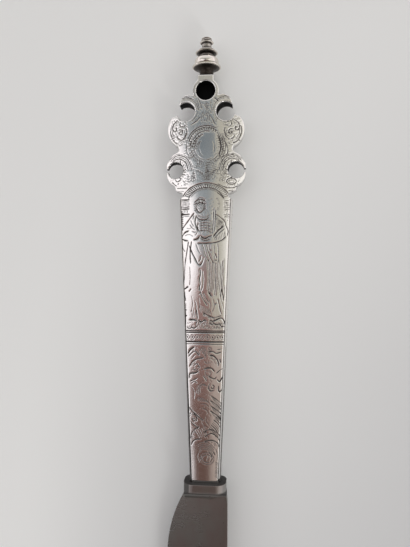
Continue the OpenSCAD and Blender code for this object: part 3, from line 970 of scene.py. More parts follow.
    def band(self) -> None:
        """Cut the ruled band with its running leaves and dots."""
        for y, tool in ((33.5, LINE), (33.15, BOLD), (31.1, BOLD), (30.6, LINE)):
            edge = self.shaft.face_half(y) - 0.05
            self.cut(tool, [(-edge, y), (edge, y)])
        along = np.linspace(-4.35, 4.35, 88)
        for side in (-1, 1):
            self.cut(HAIR, np.column_stack([along, 32.12 + 0.52 * side * np.sin(math.pi * along / 1.1)]))
        for i in range(-3, 5):
            self.cut(LINE, oval((1.1 * i - 0.55, 32.12), 0.1, 0.14))
        self.fringe(HAIR, [(-4.2, 31.3), (4.2, 31.3)], 0.22, 80)

    def scrolls(self) -> None:
        """Cut the running scrolls of the lower panel."""
        self.cut(BOLD, ((-3.8, 28.4), (-3.1, 29.4), (-2.3, 29.9)),
                 ((1.0, 28.2), (1.9, 28.0), (2.7, 27.2), (3.0, 26.3), (2.9, 25.8)),
                 [(3.3, 27.2), (3.4, 26.7)],
                 ((-3.5, 23.0), (-3.4, 23.8), (-3.0, 24.1), (-2.1, 24.2), (-1.4, 24.6)),
                 ((-0.3, 23.6), (0.1, 23.0), (0.4, 22.5)),
                 ((2.7, 22.8), (3.2, 22.4), (3.6, 22.9), (3.9, 23.4)),
                 ((3.0, 21.4), (3.0, 20.5), (3.3, 20.1), (3.8, 20.7)))
        self.cut(LINE, ((-3.6, 27.8), (-3.0, 28.5), (-2.1, 29.0), (-1.7, 28.5), (-1.2, 28.1)),
                 ((0.8, 28.9), (1.7, 29.0), (2.5, 28.6), (3.6, 28.9)), ((2.7, 29.4), (3.8, 29.6)),
                 ((-3.4, 25.6), (-2.7, 26.7), (-1.7, 27.3), (-0.3, 27.6)),
                 ((-2.5, 25.7), (-1.9, 26.2), (-1.4, 26.1)), ((-1.7, 25.4), (-1.3, 25.8), (-1.1, 25.3)),
                 ((-0.3, 25.0), (0.6, 25.4), (1.4, 25.3), (2.1, 24.6)),
                 ((2.5, 24.2), (3.2, 24.8), (4.0, 25.3)),
                 ((0.8, 23.6), (1.4, 23.2), (2.1, 23.0), (2.5, 23.4)),
                 ((-3.2, 22.3), (-2.3, 22.7), (-1.7, 23.0)), ((-3.0, 21.8), (-2.3, 22.3), (-1.7, 22.0)),
                 ((1.1, 21.9), (0.8, 21.0), (1.2, 20.3), (2.0, 20.5)),
                 volute((1.6, 21.1), 0.55, 100, -360, 0.12),
                 ((-3.6, 16.6), (-2.5, 15.5), (-1.4, 14.6), (-0.3, 13.7)), ((-3.4, 15.0), (-3.0, 15.3)),
                 ((-2.5, 15.3), (-1.9, 14.6), (-1.7, 13.9), (-2.0, 13.4)),
                 volute((-2.3, 13.7), 0.45, 60, 330, 0.1), ((-3.2, 13.5), (-2.3, 12.6), (-1.4, 12.1)),
                 ((-3.2, 9.6), (-2.8, 10.9), (-2.1, 11.8), (-1.2, 12.3)),
                 ((-3.0, 8.2), (-2.5, 9.1), (-1.7, 9.5), (-0.8, 9.6)),
                 ((-0.3, 11.1), (1.2, 11.8), (2.7, 11.1), (3.6, 10.0)),
                 ((0.1, 10.2), (1.4, 10.9), (2.7, 10.2), (3.5, 8.9)),
                 ((-0.1, 9.1), (1.4, 9.4), (2.7, 8.9), (3.3, 7.8)),
                 ((0.8, 6.9), (1.4, 6.2), (1.6, 5.4), (1.2, 4.5)), ((1.9, 6.9), (2.2, 6.2)))
        self.cut(HAIR, ((-3.0, 27.2), (-2.3, 28.0), (-1.8, 28.2)), ((1.1, 27.6), (2.0, 27.0), (2.3, 26.2)),
                 ((-0.2, 26.9), (0.4, 26.4), (1.2, 26.6)), ((0.2, 24.4), (1.0, 24.7), (1.6, 24.4)),
                 ((-3.0, 24.8), (-2.2, 25.0), (-1.7, 24.8)), ((-2.8, 21.0), (-2.3, 19.8), (-2.4, 18.4)),
                 ((-0.9, 17.4), (0.2, 17.3), (0.9, 16.7)), ((-0.6, 16.4), (0.4, 16.0), (0.8, 15.2)),
                 ((0.3, 14.6), (0.2, 13.6), (0.9, 12.7)), ((-0.8, 13.4), (-0.2, 12.6), (0.6, 12.2)),
                 ((0.5, 6.4), (0.8, 5.7), (0.5, 5.0)), ((-1.2, 6.9), (-1.6, 5.8), (-1.2, 4.6)),
                 ((-0.7, 6.2), (-0.9, 5.5), (-0.6, 5.0)), ((2.4, 7.6), (2.8, 6.2), (2.7, 4.8)))
        self.hatch(HAIR, ((2.3, 4.6), (2.2, 1.4)), ((3.1, 4.0), (2.9, 0.9)), 10, 0.1)
        for i in range(12):
            foot = (1.2 + 0.25 * (i % 3), 19.3 - 0.38 * i)
            self.cut(HAIR if i % 3 else LINE,
                     (foot, (2.6, foot[1] - 0.9), (4.0 - 0.02 * i, foot[1] - 2.1 - 0.2 * (i % 2))))
        for i in range(9):
            foot = (2.6 - 0.22 * i, 15.0 - 0.36 * i)
            self.cut(HAIR if i % 3 else LINE,
                     (foot, (foot[0] + 1.0, foot[1] - 0.9), (foot[0] + 1.7, foot[1] - 2.1)))
        self.frond(HAIR, ((-0.9, 29.9), (-0.1, 29.0), (0.2, 27.4)), 0.5, 6)
        self.frond(HAIR, ((1.3, 29.9), (0.8, 29.0), (0.9, 27.9)), 0.4, 4)
        self.fringe(HAIR, ((-3.6, 27.8), (-2.2, 29.0), (-1.2, 28.1)), 0.45, 60)
        self.matting((-1.4, 22.8), (1.6, 29.8), 30)
        for i in range(5):
            self.cut(HAIR,
                     ((-1.9 + 0.2 * i, 8.2 - 0.4 * i), (-0.5, 8.9 - 0.4 * i), (1.0, 8.7 - 0.4 * i),
                      (2.2 - 0.15 * i, 7.6 - 0.45 * i)),
                     ((-2.2 + 0.5 * i, 11.4 + 0.25 * i), (-1.5 + 0.5 * i, 10.4), (-1.2 + 0.5 * i, 9.9)))
        self.cut(HAIR, volute((-2.1, 25.3), 1.2, 150, -430, 0.15), volute((0.9, 24.2), 1.35, 30, 430, 0.15),
                 volute((-2.5, 14.1), 1.2, 200, -420, 0.15), oval((0.5, 5.3), 1.5, 1.3),
                 oval((0.5, 5.3), 1.0, 0.85, 30, 300))
        for path, reach in ((((-3.4, 25.6), (-2.7, 26.7), (-1.7, 27.3), (-0.3, 27.6)), -0.45),
                            (((1.0, 28.2), (1.9, 28.0), (2.7, 27.2), (3.0, 26.3)), -0.5),
                            (((-3.5, 23.0), (-3.0, 24.1), (-1.4, 24.6)), -0.4),
                            (((0.8, 23.6), (1.4, 23.2), (2.1, 23.0)), -0.4),
                            (((-3.6, 16.6), (-2.5, 15.5), (-1.4, 14.6), (-0.3, 13.7)), -0.45),
                            (((-3.2, 9.6), (-2.1, 11.8), (-1.2, 12.3)), -0.5),
                            (((-0.3, 11.1), (1.2, 11.8), (3.4, 10.2)), -0.5),
                            (((-0.1, 9.1), (1.4, 9.4), (3.2, 7.9)), -0.5),
                            (((-3.2, 29.2), (-1.9, 30.0), (-0.6, 28.6)), -0.4)):
            self.fringe(HAIR, path, reach, 62, 0.32)
        self.frond(HAIR, ((-1.5, 19.4), (-1.4, 20.9), (-0.5, 21.7), (0.6, 21.3)), 0.5, 7)
        self.frond(HAIR, ((-1.8, 18.6), (-0.7, 18.3), (0.5, 18.0), (1.0, 17.4)), 0.42, 6)
        self.matting((-1.4, 12.6), (1.6, 22.6), 34)
        self.matting((-1.6, 3.6), (2.0, 9.0), 20)


# Pieces


@dataclass
class ShaftPlate:
    """One engraved and slightly domed silver sheet of the shaft."""

    datum: Datum
    crown: Crown
    shaft: Shaft
    engraving: Engraving
    side: Side
    edge_r: float = 0.42
    end_r: float = 0.06
    spacing: float = 0.096
    crowding: float = 1.15
    under_cells: tuple[int, int] = (12, 40)

    def build(self) -> Piece:
        """Build the sheet as a closed mesh.

        Returns:
            The finished object.
        """
        mesh = bmesh.new()
        columns = int(self.crowding * self.shaft.top_w / self.spacing)
        rows = int(self.shaft.length / self.spacing)
        verts = sheet_grid(mesh, np.linspace(-1, 1, columns + 1), np.linspace(0, self.shaft.length, rows + 1))
        places = places_of(verts)
        half = self.shaft.face_half(places[:, 1])
        places[:, 0] *= half
        edge = half - np.abs(places[:, 0])
        x, y = places[:, 0], places[:, 1]
        places[:, 2] = (self.crown.height(x, y) - rounded(edge, self.edge_r)
                        - rounded(y, self.end_r) - self.engraving.map.sample(x, y))
        move(verts, places)
        border = pull_wall(mesh, open_edges(mesh), self._underside)
        columns, rows = self.under_cells
        under = sheet_grid(mesh, np.linspace(-1, 1, columns + 1), np.linspace(0, self.shaft.length, rows + 1))
        places = places_of(under)
        places[:, 0] *= self.shaft.face_half(places[:, 1])
        places[:, 2] = self.crown.height(places[:, 0], places[:, 1]) - self.shaft.sheet_t
        move(under, places)
        inner = {e for v in under for e in v.link_edges if len(e.link_faces) == 1}
        bmesh.ops.bridge_loops(mesh, edges=list(border) + list(inner))
        if self.side is Side.BACK:
            bmesh.ops.scale(mesh, vec=(1, 1, -1), verts=mesh.verts)
        name = f"{self.side.name.lower()}_plate_dressed"
        made = finish_piece(mesh, name, self.datum, cuts=self.tarnish)
        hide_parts(f"{self.side.name.lower()}_plate")
        return made

    def _underside(self, co: Vector) -> Place:
        """Return the place on the sheet's underside below a place on its edge."""
        return co.x, co.y, float(self.crown.height(np.array(co.x), np.array(co.y))) - self.shaft.sheet_t

    def tarnish(self, places: Array) -> Array:
        """Return how much tarnish each place of the sheet holds."""
        return self.engraving.map.tarnish(places[:, 0], places[:, 1])


@dataclass
class PiercedHead:
    """The pierced silver head with its scroll holes and its blind ring."""

    datum: Datum
    crown: Crown
    shape: HeadShape
    engraving: Engraving
    spacing: float = 0.1
    edge_r: float = 0.16
    snap: float = 0.71
    lip: Point = (0.1, 0.3)
    tongue: Place = (9.4, 4.0, 2.3)

    def build(self) -> Piece:
        """Build the head as a closed mesh, the same on both faces.

        Returns:
            The finished object.
        """
        mesh = bmesh.new()
        self._front_sheet(mesh)
        border = open_edges(mesh)
        ring = Vector((0, self.shape.shoulder + self.shape.ring_y))
        reach = self.shape.socket_r + self.spacing
        in_ring = [e for e in border if (e.verts[0].co.xy - ring).length < reach]
        chosen = set(in_ring)
        outer = [e for e in border if e not in chosen]
        floor = self._pull_lip(mesh, in_ring, self.shape.socket_floor)
        bmesh.ops.edgeloop_fill(mesh, edges=floor)
        self._pull_lip(mesh, outer, 0.0)
        bmesh.ops.mirror(mesh, geom=mesh.verts[:] + mesh.edges[:] + mesh.faces[:], axis="Z", merge_dist=1e-4)
        made = bmesh.ops.create_cube(mesh, size=1.0)
        bmesh.ops.scale(mesh, vec=self.tongue, verts=made["verts"])
        bmesh.ops.translate(mesh, vec=(0, self.shape.shoulder - self.tongue[1] / 2, 0), verts=made["verts"])
        head = finish_piece(mesh, "pierced_head_dressed", self.datum, crease=50, cuts=self.tarnish)
        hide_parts("pierced_head")
        return head

    def _pull_lip(self, mesh: Mesh, edges: list[Edge],
                  end: float) -> list[Edge]:
        """Pull a wall down from the front face, in short steps at its lip.

        Args:
            mesh: The mesh that holds the face.
            edges: The border of the face.
            end: Height of the wall's foot.

        Returns:
            The edges of the wall's foot.
        """
        for step in self.lip:
            edges = pull_wall(mesh, edges, lambda co: (co.x, co.y, co.z - step))
        return pull_wall(mesh, edges, lambda co: (co.x, co.y, end))

    def _front_sheet(self, mesh: Mesh) -> None:
        """Cut the engraved front face out of a fine grid.

        Args:
            mesh: The empty mesh that receives the face.
        """
        top = self.shape.shoulder + self.shape.ring_y + self.shape.socket_r + self.shape.crest_wall
        half_w = self.shape.lower_lobe_x + 2 * self.spacing
        across = np.arange(-half_w, half_w + self.spacing, self.spacing)
        along = np.arange(self.shape.shoulder - 2 * self.spacing, top + 3 * self.spacing, self.spacing)
        verts = sheet_grid(mesh, across, along)
        places = places_of(verts)
        away = self.shape.distance(places[:, 0], places[:, 1])
        near = np.abs(away) < self.snap * self.spacing
        places[near, :2] = self._onto_edge(places[near, :2])
        places[:, 2] = self._surface(places[:, 0], places[:, 1])
        move(verts, places)
        snapped = {v for v, flag in zip(verts, near) if flag}
        flat = [f for f in mesh.faces if all(v in snapped for v in f.verts)]
        outside = [v for v, d in zip(verts, away) if d >= self.snap * self.spacing]
        bmesh.ops.delete(mesh, geom=flat, context="FACES_ONLY")
        bmesh.ops.delete(mesh, geom=outside, context="VERTS")
        loose = [e for e in mesh.edges if not e.link_faces]
        bmesh.ops.delete(mesh, geom=loose, context="EDGES")
        stray = [v for v in mesh.verts if not v.link_faces]
        bmesh.ops.delete(mesh, geom=stray, context="VERTS")

    def _onto_edge(self, points: Array) -> Array:
        """Move places to the nearest edge of the head.

        Args:
            points: Rows of x and y close to an edge.

        Returns:
            The moved rows.
        """
        found = points.copy()
        nudge = 0.005
        for _ in range(4):
            x, y = found[:, 0], found[:, 1]
            here = self.shape.distance(x, y)
            slope = np.column_stack([self.shape.distance(x + nudge, y) - self.shape.distance(x - nudge, y),
                                     self.shape.distance(x, y + nudge) - self.shape.distance(x, y - nudge)])
            steep = np.maximum(np.hypot(slope[:, 0], slope[:, 1]), 1e-6)[:, None]
            found -= here[:, None] * slope / steep
        return found

    def _surface(self, x: Array, y: Array) -> Array:
        """Return the height of the engraved face.

        Args:
            x: Distance from the middle line.
            y: Distance from the bolster.

        Returns:
            The height above the handle's axis.
        """
        depth = np.maximum(-self.shape.distance(x, y), 0)
        fade_w, seam_l, corner_w = 0.25, 0.5, 0.7
        fade = np.clip(depth / fade_w, 0, 1)
        seam = y - self.shape.shoulder
        inner = (seam < seam_l) & (np.abs(x) < self.shape.top_w / 2 - corner_w)
        drop = np.where(inner, 0.0, rounded(depth, self.edge_r))
        fade = np.where(inner, 1.0, fade)
        return self.crown.height(x, y) - drop - fade * self.engraving.map.sample(x, y)

    def tarnish(self, places: Array) -> Array:
        """Return how much tarnish the head holds in its lines, and the painted shade on its walls, darkest in
        its holes and ring.

        Args:
            places: Places on the head, in the knife's millimetres.

        Returns:
            The share at each place.
        """
        x, y, z = places.T
        cut = self.engraving.map.tarnish(x, y)
        below = self.crown.height(x, y) - np.abs(z)
        lip, run, near = 0.3, 0.5, 2.2
        wall = np.clip((below - lip) / run, 0, 1)
        ring = np.hypot(x, y - self.shape.shoulder - self.shape.ring_y)
        hole = ring
        for hole_x, hole_y in (self.shape.lower_hole, self.shape.upper_hole):
            hole = np.minimum(hole, np.hypot(np.abs(x) - hole_x, y - self.shape.shoulder - hole_y))
        # Painted shade: the walls of the holes and the ring go near black, the outer walls less dark
        inner = np.where(hole < near, np.clip(2.5 * wall, 0, 0.98), 0.45 * wall)
        inner = np.where(ring < near, np.clip(2.5 * wall, 0, 1), inner)
        return np.where(below > lip, inner, cut)


@dataclass
class EdgeStrip:
    """One narrow silver side of the shaft, rounded outside and flat within."""

    datum: Datum
    crown: Crown
    shaft: Shaft
    hand: Hand
    columns: int = 33
    rows: int = 601
    depth: float = 0.07
    nick_gap: float = 1.5
    nick_half: float = 0.16
    nick_reach: float = 0.75
    nick_groups: tuple[Point, ...] = ((-1.0, 7.0), (29.5, 39.0), (56.0, 63.0))
    line_z: float = 1.1
    line_half: float = 0.1
    line_end: float = 30.0

    def build(self) -> Piece:
        """Build the strip as a closed mesh with its ornament.

        Returns:
            The finished object.
        """
        mesh = bmesh.new()
        verts = sheet_grid(mesh, np.linspace(-1, 1, self.columns),
                           np.linspace(0, self.shaft.length, self.rows))
        places = places_of(verts)
        y = places[:, 1]
        height = places[:, 0] * self.reach(y)
        end = np.minimum(y, self.shaft.length - y)
        out = self.swell(height) - self.cut_depth(height, y) - rounded(end, 0.1)
        move(verts, np.column_stack([self.shaft.half(y) - self.shaft.bulge + out, y, height]))
        rim = pull_wall(mesh, open_edges(mesh), lambda co: self._under_sheet(co, 0.0))
        rim = pull_wall(mesh, rim, lambda co: self._under_sheet(co, self.shaft.sheet_t))
        bmesh.ops.edgeloop_fill(mesh, edges=rim)
        if self.hand is Hand.LEFT:
            bmesh.ops.scale(mesh, vec=(-1, 1, 1), verts=mesh.verts)
        name = f"{self.hand.name.lower()}_edge_strip"
        piece = finish_piece(mesh, f"{name}_dressed", self.datum, cuts=self.tarnish)
        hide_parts(name)
        return piece

    def _under_sheet(self, co: Vector, inward: float) -> Place:
        """Return the place of a corner of the border at the hollow between the sheets.

        Args:
            co: Where it stands.
            inward: How far past the sheets' edge it goes.

        Returns:
            Its new place.
        """
        face_x = self.shaft.face_half(co.y)
        inner = float(self.crown.height(np.array(face_x), np.array(co.y))) - self.shaft.sheet_t
        return face_x - inward, co.y, max(-inner, min(inner, co.z))

    def reach(self, y: Array) -> Array:
        """Return half the thickness of the strip where it meets the broad faces."""
        return np.minimum(self.shaft.side_t / 2, self.crown.height(self.shaft.face_half(y), y))

    def swell(self, z: Array) -> Array:
        """Return how far the strip stands out past the broad faces.

        Args:
            z: Height from the handle's axis.

        Returns:
            The bulge at each height.
        """
        bulge, half_t = self.shaft.bulge, self.shaft.side_t / 2
        radius = (half_t**2 + bulge**2) / 2 / bulge
        return np.maximum(np.sqrt(radius**2 - z**2) - radius + bulge, 0.02)

    def cut_depth(self, z: Array, y: Array) -> Array:
        """Return how deep the strip's ornament is cut.

        Args:
            z: Height from the handle's axis.
            y: Distance from the bolster.

        Returns:
            The depth at each place.
        """
        off = np.abs(np.mod(y, self.nick_gap) - self.nick_gap / 2)
        nicks = np.clip(1 - off / self.nick_half, 0, 1) * (np.abs(z) < self.nick_reach)
        group = np.any([(y > low) & (y < high) for low, high in self.nick_groups], axis=0)
        off = np.abs(np.abs(z) - self.line_z)
        lines = np.clip(1 - off / self.line_half, 0, 1) * (y < self.line_end)
        return self.depth * np.maximum(nicks * group, 0.7 * lines)

    def tarnish(self, places: Array) -> Array:
        """Return how much tarnish the strip holds, most of it along the sheets, with painted shade that
        darkens its lower half.

        Args:
            places: Places on the strip, in the knife's millimetres.

        Returns:
            The share at each place.
        """
        start, run, most = 54, 42, 0.58
        seam_w, fade = 0.14, 0.1
        y, z = places[:, 1], places[:, 2]
        # Painted shade: the strip darkens over its lower half, towards the bolster
        low = np.clip((start - y) / run, 0, 1)
        low = low**2 * (3 - 2 * low)
        seam = np.clip((np.abs(z) - self.reach(y) + seam_w) / fade, 0, 1)
        if self.hand is Hand.LEFT:
            dull = np.maximum(most * low, seam * (0.3 + 0.45 * low))
        else:
            inner = np.clip((1.5 - np.abs(z)) / 0.5, 0, 1)
            dull = np.maximum(most * low * inner, seam * (0.22 + 0.2 * low))
        full_cut, cut_most = 0.06, 0.7
        return np.maximum(np.minimum(self.cut_depth(z, y) / full_cut, cut_most), dull)


@dataclass
class Finial:
    """The turned silver finial and the collar that it stands on."""

    datum: Datum
    collar_y: float = 89.9
    collar_h: float = 0.55
    collar_r: float = 1.7
    height: float = 8.5
    flange_r: float = 3.2
    cushion_r: float = 2.7
    disc_r: float = 2.5
    small_disc_r: float = 1.55
    knob_r: float = 1.25
    steps: int = 96
    wide_span: float = 0.9
    near_span: float = 0.32
    grooves: tuple[float, ...] = (0.262, 0.5, 0.64, 0.8, 0.895, 0.947)
    groove_half: float = 0.018
    neck_share: float = 0.13

    def profile(self) -> list[Point]:
        """Return the finial's half outline.

        Returns:
            The radius and the share of the height of each corner.
        """
        flange, cushion = self.flange_r, self.cushion_r
        neck = 0.57 * cushion
        disc, small, knob = self.disc_r, self.small_disc_r, self.knob_r
        return [(0.0, 0.0), (neck, 0.0), (neck, 0.095), (neck + 0.1, 0.122), (neck + 0.25, 0.145),
                (0.72 * flange, 0.18), (flange - 0.35, 0.196), (flange - 0.1, 0.205), (flange, 0.215),
                (flange, 0.235), (flange - 0.12, 0.245), (cushion - 0.1, 0.255), (cushion - 0.12, 0.275),
                (cushion - 0.06, 0.292), (cushion - 0.02, 0.31), (cushion, 0.345), (cushion - 0.04, 0.39),
                (cushion - 0.1, 0.41), (cushion - 0.2, 0.43), (cushion - 0.33, 0.446), (cushion - 0.5, 0.46),
                (cushion - 0.7, 0.471), (cushion - 0.9, 0.48), (neck, 0.487), (neck - 0.04, 0.515),
                (neck, 0.55), (disc - 0.35, 0.575), (disc, 0.592), (disc, 0.603), (0.8 * disc, 0.622),
                (0.72 * disc, 0.632), (0.76 * disc, 0.648), (0.74 * disc, 0.668), (0.66 * disc, 0.678),
                (0.5 * disc, 0.715), (0.7 * small, 0.735), (0.7 * small, 0.79), (0.72 * small, 0.835),
                (small - 0.1, 0.85), (small, 0.862), (small, 0.872), (small - 0.15, 0.885),
                (0.8 * knob, 0.897), (knob - 0.05, 0.908), (knob, 0.92), (knob - 0.05, 0.932),
                (0.8 * knob, 0.942), (0.78 * knob, 0.95), (knob - 0.12, 0.958), (knob - 0.08, 0.968),
                (knob - 0.2, 0.982), (0.55 * knob, 0.993), (0.25 * knob, 1.0), (0.0, 1.0)]

    def build(self) -> list[Piece]:
        """Build the finial and its collar by spinning their outlines.

        Returns:
            The finial and the collar.
        """
        foot = self.collar_y + self.collar_h
        finial = self._turn([(r, foot + share * self.height) for r, share in self.profile()], "finial",
                            crease=24)
        edge = 0.08
        collar = self._turn([(0.0, self.collar_y), (self.collar_r - edge, self.collar_y),
                             (self.collar_r, self.collar_y + edge), (self.collar_r, foot - edge),
                             (self.collar_r - edge, foot), (0.0, foot)], "finial_collar", crease=35)
        return [finial, collar]

    def _turn(self, outline: Sequence[Point], node: str, crease: float) -> Piece:
        """Spin one outline about the handle's axis.

        Args:
            outline: Radius and distance from the bolster of each corner.
            node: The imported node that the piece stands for.
            crease: Edges that bend by more degrees than this are shown sharp.

        Returns:
            The finished object.
        """
        mesh = bmesh.new()
        verts = [mesh.verts.new((radius, y, 0)) for radius, y in outline]
        edges = [mesh.edges.new(pair) for pair in zip(verts, verts[1:])]
        bmesh.ops.spin(mesh, geom=verts + edges, cent=(0, 0, 0), axis=(0, 1, 0), angle=math.tau,
                       steps=self.steps, use_merge=True)
        bmesh.ops.remove_doubles(mesh, verts=mesh.verts, dist=1e-4)
        piece = finish_piece(mesh, f"{node}_dressed", self.datum, crease=crease,
                             cuts=lambda places: self._hollow_tarnish_and_shade(places, outline))
        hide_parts(node)
        return piece

    def _hollow_tarnish_and_shade(self, places: Array, outline: Sequence[Point]) -> Array:
        """Return how much tarnish gathers in the hollows of a turned piece, with painted shade under its
        discs, in its grooves and on the neck and collar below the flange.

        Args:
            places: Places on the piece, in the knife's millimetres.
            outline: Radius and distance from the bolster of each corner of its outline.

        Returns:
            The share of tarnish at each place.
        """
        radii = np.hypot(places[:, 0], places[:, 2])
        ys = np.array([y for _, y in outline])
        rs = np.array([r for r, _ in outline])
        wide, near = (np.array([rs[np.abs(ys - y) < span].max() for y in places[:, 1]])
                      for span in (self.wide_span, self.near_span))
        hollow = np.clip((wide - radii) / np.maximum(wide, 0.1) * 1.2, 0, 0.82)
        dent = np.clip((near - radii) / 0.4 - 0.25, 0, 0.75)
        share = (places[:, 1] - self.collar_y - self.collar_h) / self.height
        # Dark rings at the grooves between the discs, partly tarnish and partly painted shade
        for groove in self.grooves:
            dent = np.maximum(dent, 0.85 * np.clip(1 - np.abs(share - groove) / self.groove_half, 0, 1))
        # Painted shade on the neck and the collar below the flange
        return np.maximum(np.maximum(hollow, dent), 0.72 * (share < self.neck_share))


@dataclass
class Blade:
    """The forged blade with its bolster and its tang."""

    datum: Datum
    length: float = 106.0
    edge_x: float = 8.5
    back_x: float = 5.0
    back_t: float = 2.4
    edge_t: float = 0.3
    tip_t: float = 0.8
    heel_start: float = 0.8
    heel_l: float = 14.0
    back_slant: float = 2.5
    tip_blunt: float = 0.5
    point_l: float = 40.0
    back_drop: float = 1.8
    bolster_w: float = 9.4
    bolster_t: float = 6.4
    bolster_l: float = 2.0
    bolster_r: float = 2.3
    rear_r: float = 0.18
    fillet_r: float = 1.9
    fillet_step: float = 0.25
    root_end: float = 30.0
    columns: int = 65
    tang_l: float = 50.0
    tang_w: float = 3.6
    tang_t: float = 1.9
    tang_tip: float = 1.4

    def edge_line(self, y: Array) -> Array:
        """Return the place of the cutting edge, or of the bolster's left side.

        Args:
            y: Distance from the bolster's rear face, negative towards the tip.

        Returns:
            The left limit of the outline.
        """
        inset = self.edge_x - self.bolster_w / 2
        heel_r = (self.heel_l**2 + inset**2) / 2 / inset
        along = np.clip(y + self.bolster_l + self.heel_start + self.heel_l, 0, self.heel_l)
        heel = heel_r - self.edge_x - np.sqrt(heel_r**2 - along**2)
        rise = self.edge_x + self.back_x - self.back_drop
        edge_r = (self.sharp_l**2 + rise**2) / 2 / rise
        past = np.clip(self.point_start - y, 0, self.point_l)
        point = edge_r - self.edge_x - np.sqrt(edge_r**2 - past**2)
        return np.where(y > self.point_start, heel, point)

    def back_line(self, y: Array) -> Array:
        """Return the place of the blade's back, or of the bolster's right side.

        Args:
            y: Distance from the bolster's rear face, negative towards the tip.

        Returns:
            The right limit of the outline.
        """
        drop_r = (self.sharp_l**2 + self.back_drop**2) / 2 / self.back_drop
        past = np.clip(self.point_start - y, 0, self.point_l)
        back = self.back_x - drop_r + np.sqrt(drop_r**2 - past**2)
        blend = np.clip((-y - self.bolster_l) / self.back_slant, 0, 1)
        return np.where(y < -self.bolster_l, self.bolster_w / 2 * (1 - blend) + back * blend,
                        self.bolster_w / 2)

    @property
    def sharp_l(self) -> float:
        """Return the length of the point if it weren't blunted."""
        return self.point_l + self.tip_blunt

    @property
    def point_start(self) -> float:
        """Return the place where the curved point begins."""
        return -self.bolster_l - self.length + self.point_l

    def half_thickness(self, x: Array, y: Array) -> Array:
        """Return half the thickness of the forging.

        Args:
            x: Distance from the middle line.
            y: Distance from the bolster's rear face, negative towards the tip.

        Returns:
            The height of the front face above the axis.
        """
        share = np.clip((x + self.edge_x) / (self.edge_x + self.back_x), 0, 1)
        wedge = self.edge_t / 2 + (self.back_t - self.edge_t) / 2 * share
        taper = self.back_t / 2 + (self.tip_t - self.back_t) / 2 * -y / (self.bolster_l + self.length)
        blade = np.minimum(wedge, taper)
        half_w, half_t, r = self.bolster_w / 2, self.bolster_t / 2, self.bolster_r
        corner = np.clip(np.abs(x) - (half_w - r), 0, r)
        full = half_t - r + np.sqrt(r**2 - corner**2)
        past = np.clip(-y - self.bolster_l, 0, self.fillet_r)
        rise = np.sqrt(self.fillet_r**2 - (self.fillet_r - past) ** 2)
        sweep = self.back_t / 2 - self.fillet_step + self.fillet_r - rise
        band = np.where(y < -self.bolster_l, np.minimum(full, np.maximum(sweep, 0)), full)
        band = band - rounded(-y, self.rear_r)
        return np.where(y < -self.bolster_l - self.fillet_r, blade, np.maximum(band, blade))

    def build(self) -> Piece:
        """Build the forging as a closed mesh.

        Returns:
            The finished object.
        """
        end = self.bolster_l + self.fillet_r
        band_rows, fillet_rows, root_rows, blade_rows = 10, 22, 90, 150
        rows = -np.concatenate([
            [0, 0.02, 0.06, 0.12, self.rear_r], np.linspace(0.3, self.bolster_l, band_rows),
            np.linspace(self.bolster_l + 0.04, end, fillet_rows),
            np.linspace(end + 0.2, self.root_end, root_rows),
            np.linspace(self.root_end + 0.5, self.bolster_l + self.length, blade_rows)])
        mesh = bmesh.new()
        share = (1 - np.cos(np.linspace(0, math.pi, self.columns))) / 2
        verts = sheet_grid(mesh, share, rows[::-1])
        places = places_of(verts)
        y = places[:, 1]
        left, right = self.edge_line(y), self.back_line(y)
        places[:, 0] = left + (right - left) * places[:, 0]
        places[:, 2] = self.half_thickness(places[:, 0], y)
        move(verts, places)
        pull_wall(mesh, open_edges(mesh), lambda co: (co.x, co.y, 0.0))
        bmesh.ops.mirror(mesh, geom=mesh.verts[:] + mesh.edges[:] + mesh.faces[:], axis="Z", merge_dist=1e-4)
        self._tang(mesh)
        piece = finish_piece(mesh, "blade_dressed", self.datum, crease=35, cuts=self.rust_and_painted_shade)
        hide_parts("blade")
        return piece

    def rust_and_painted_shade(self, places: Array) -> Array:
        """Return how black the rear face, the foot of the band, the band's flanks and the tang are: painted
        shade on the rear face and the foot, and a painted dark reflection on the flanks.

        Args:
            places: Places on the forging, in the knife's millimetres.

        Returns:
            The share of black at each place.
        """
        rear_l, foot_start, foot_end, corner_l = 0.22, -1.5, -3.5, 0.3
        x, y = places[:, 0], places[:, 1]
        # Painted shade on the rear face under the handle, which also blackens the tang, and on the foot of
        # the band
        rear = np.clip((y + rear_l) / 0.2, 0, 1)
        foot = np.clip(np.minimum((foot_start - y) / 0.5, (y - foot_end) / 0.6), 0, 1)
        # Painted dark reflection on the band's flanks, stronger on the left
        flank = np.where(x < 0, np.clip((-x - 3.2) / 0.25, 0, 0.7), np.clip((x - 4.3) / 0.3, 0, 0.15))
        return np.maximum(np.maximum(rear, 0.76 * foot), np.where(y > -self.bolster_l - corner_l, flank, 0))

    def _tang(self, mesh: Mesh) -> None:
        """Add the tapering tang inside the handle.

        Args:
            mesh: The mesh that holds the forging.
        """
        verts = bmesh.ops.create_cube(mesh, size=1.0)["verts"]
        for vert in verts:
            far = vert.co.y > 0
            vert.co.x *= self.tang_tip if far else self.tang_w
            vert.co.z *= self.tang_tip if far else self.tang_t
            vert.co.y = self.tang_l if far else 0.0


# Finishes


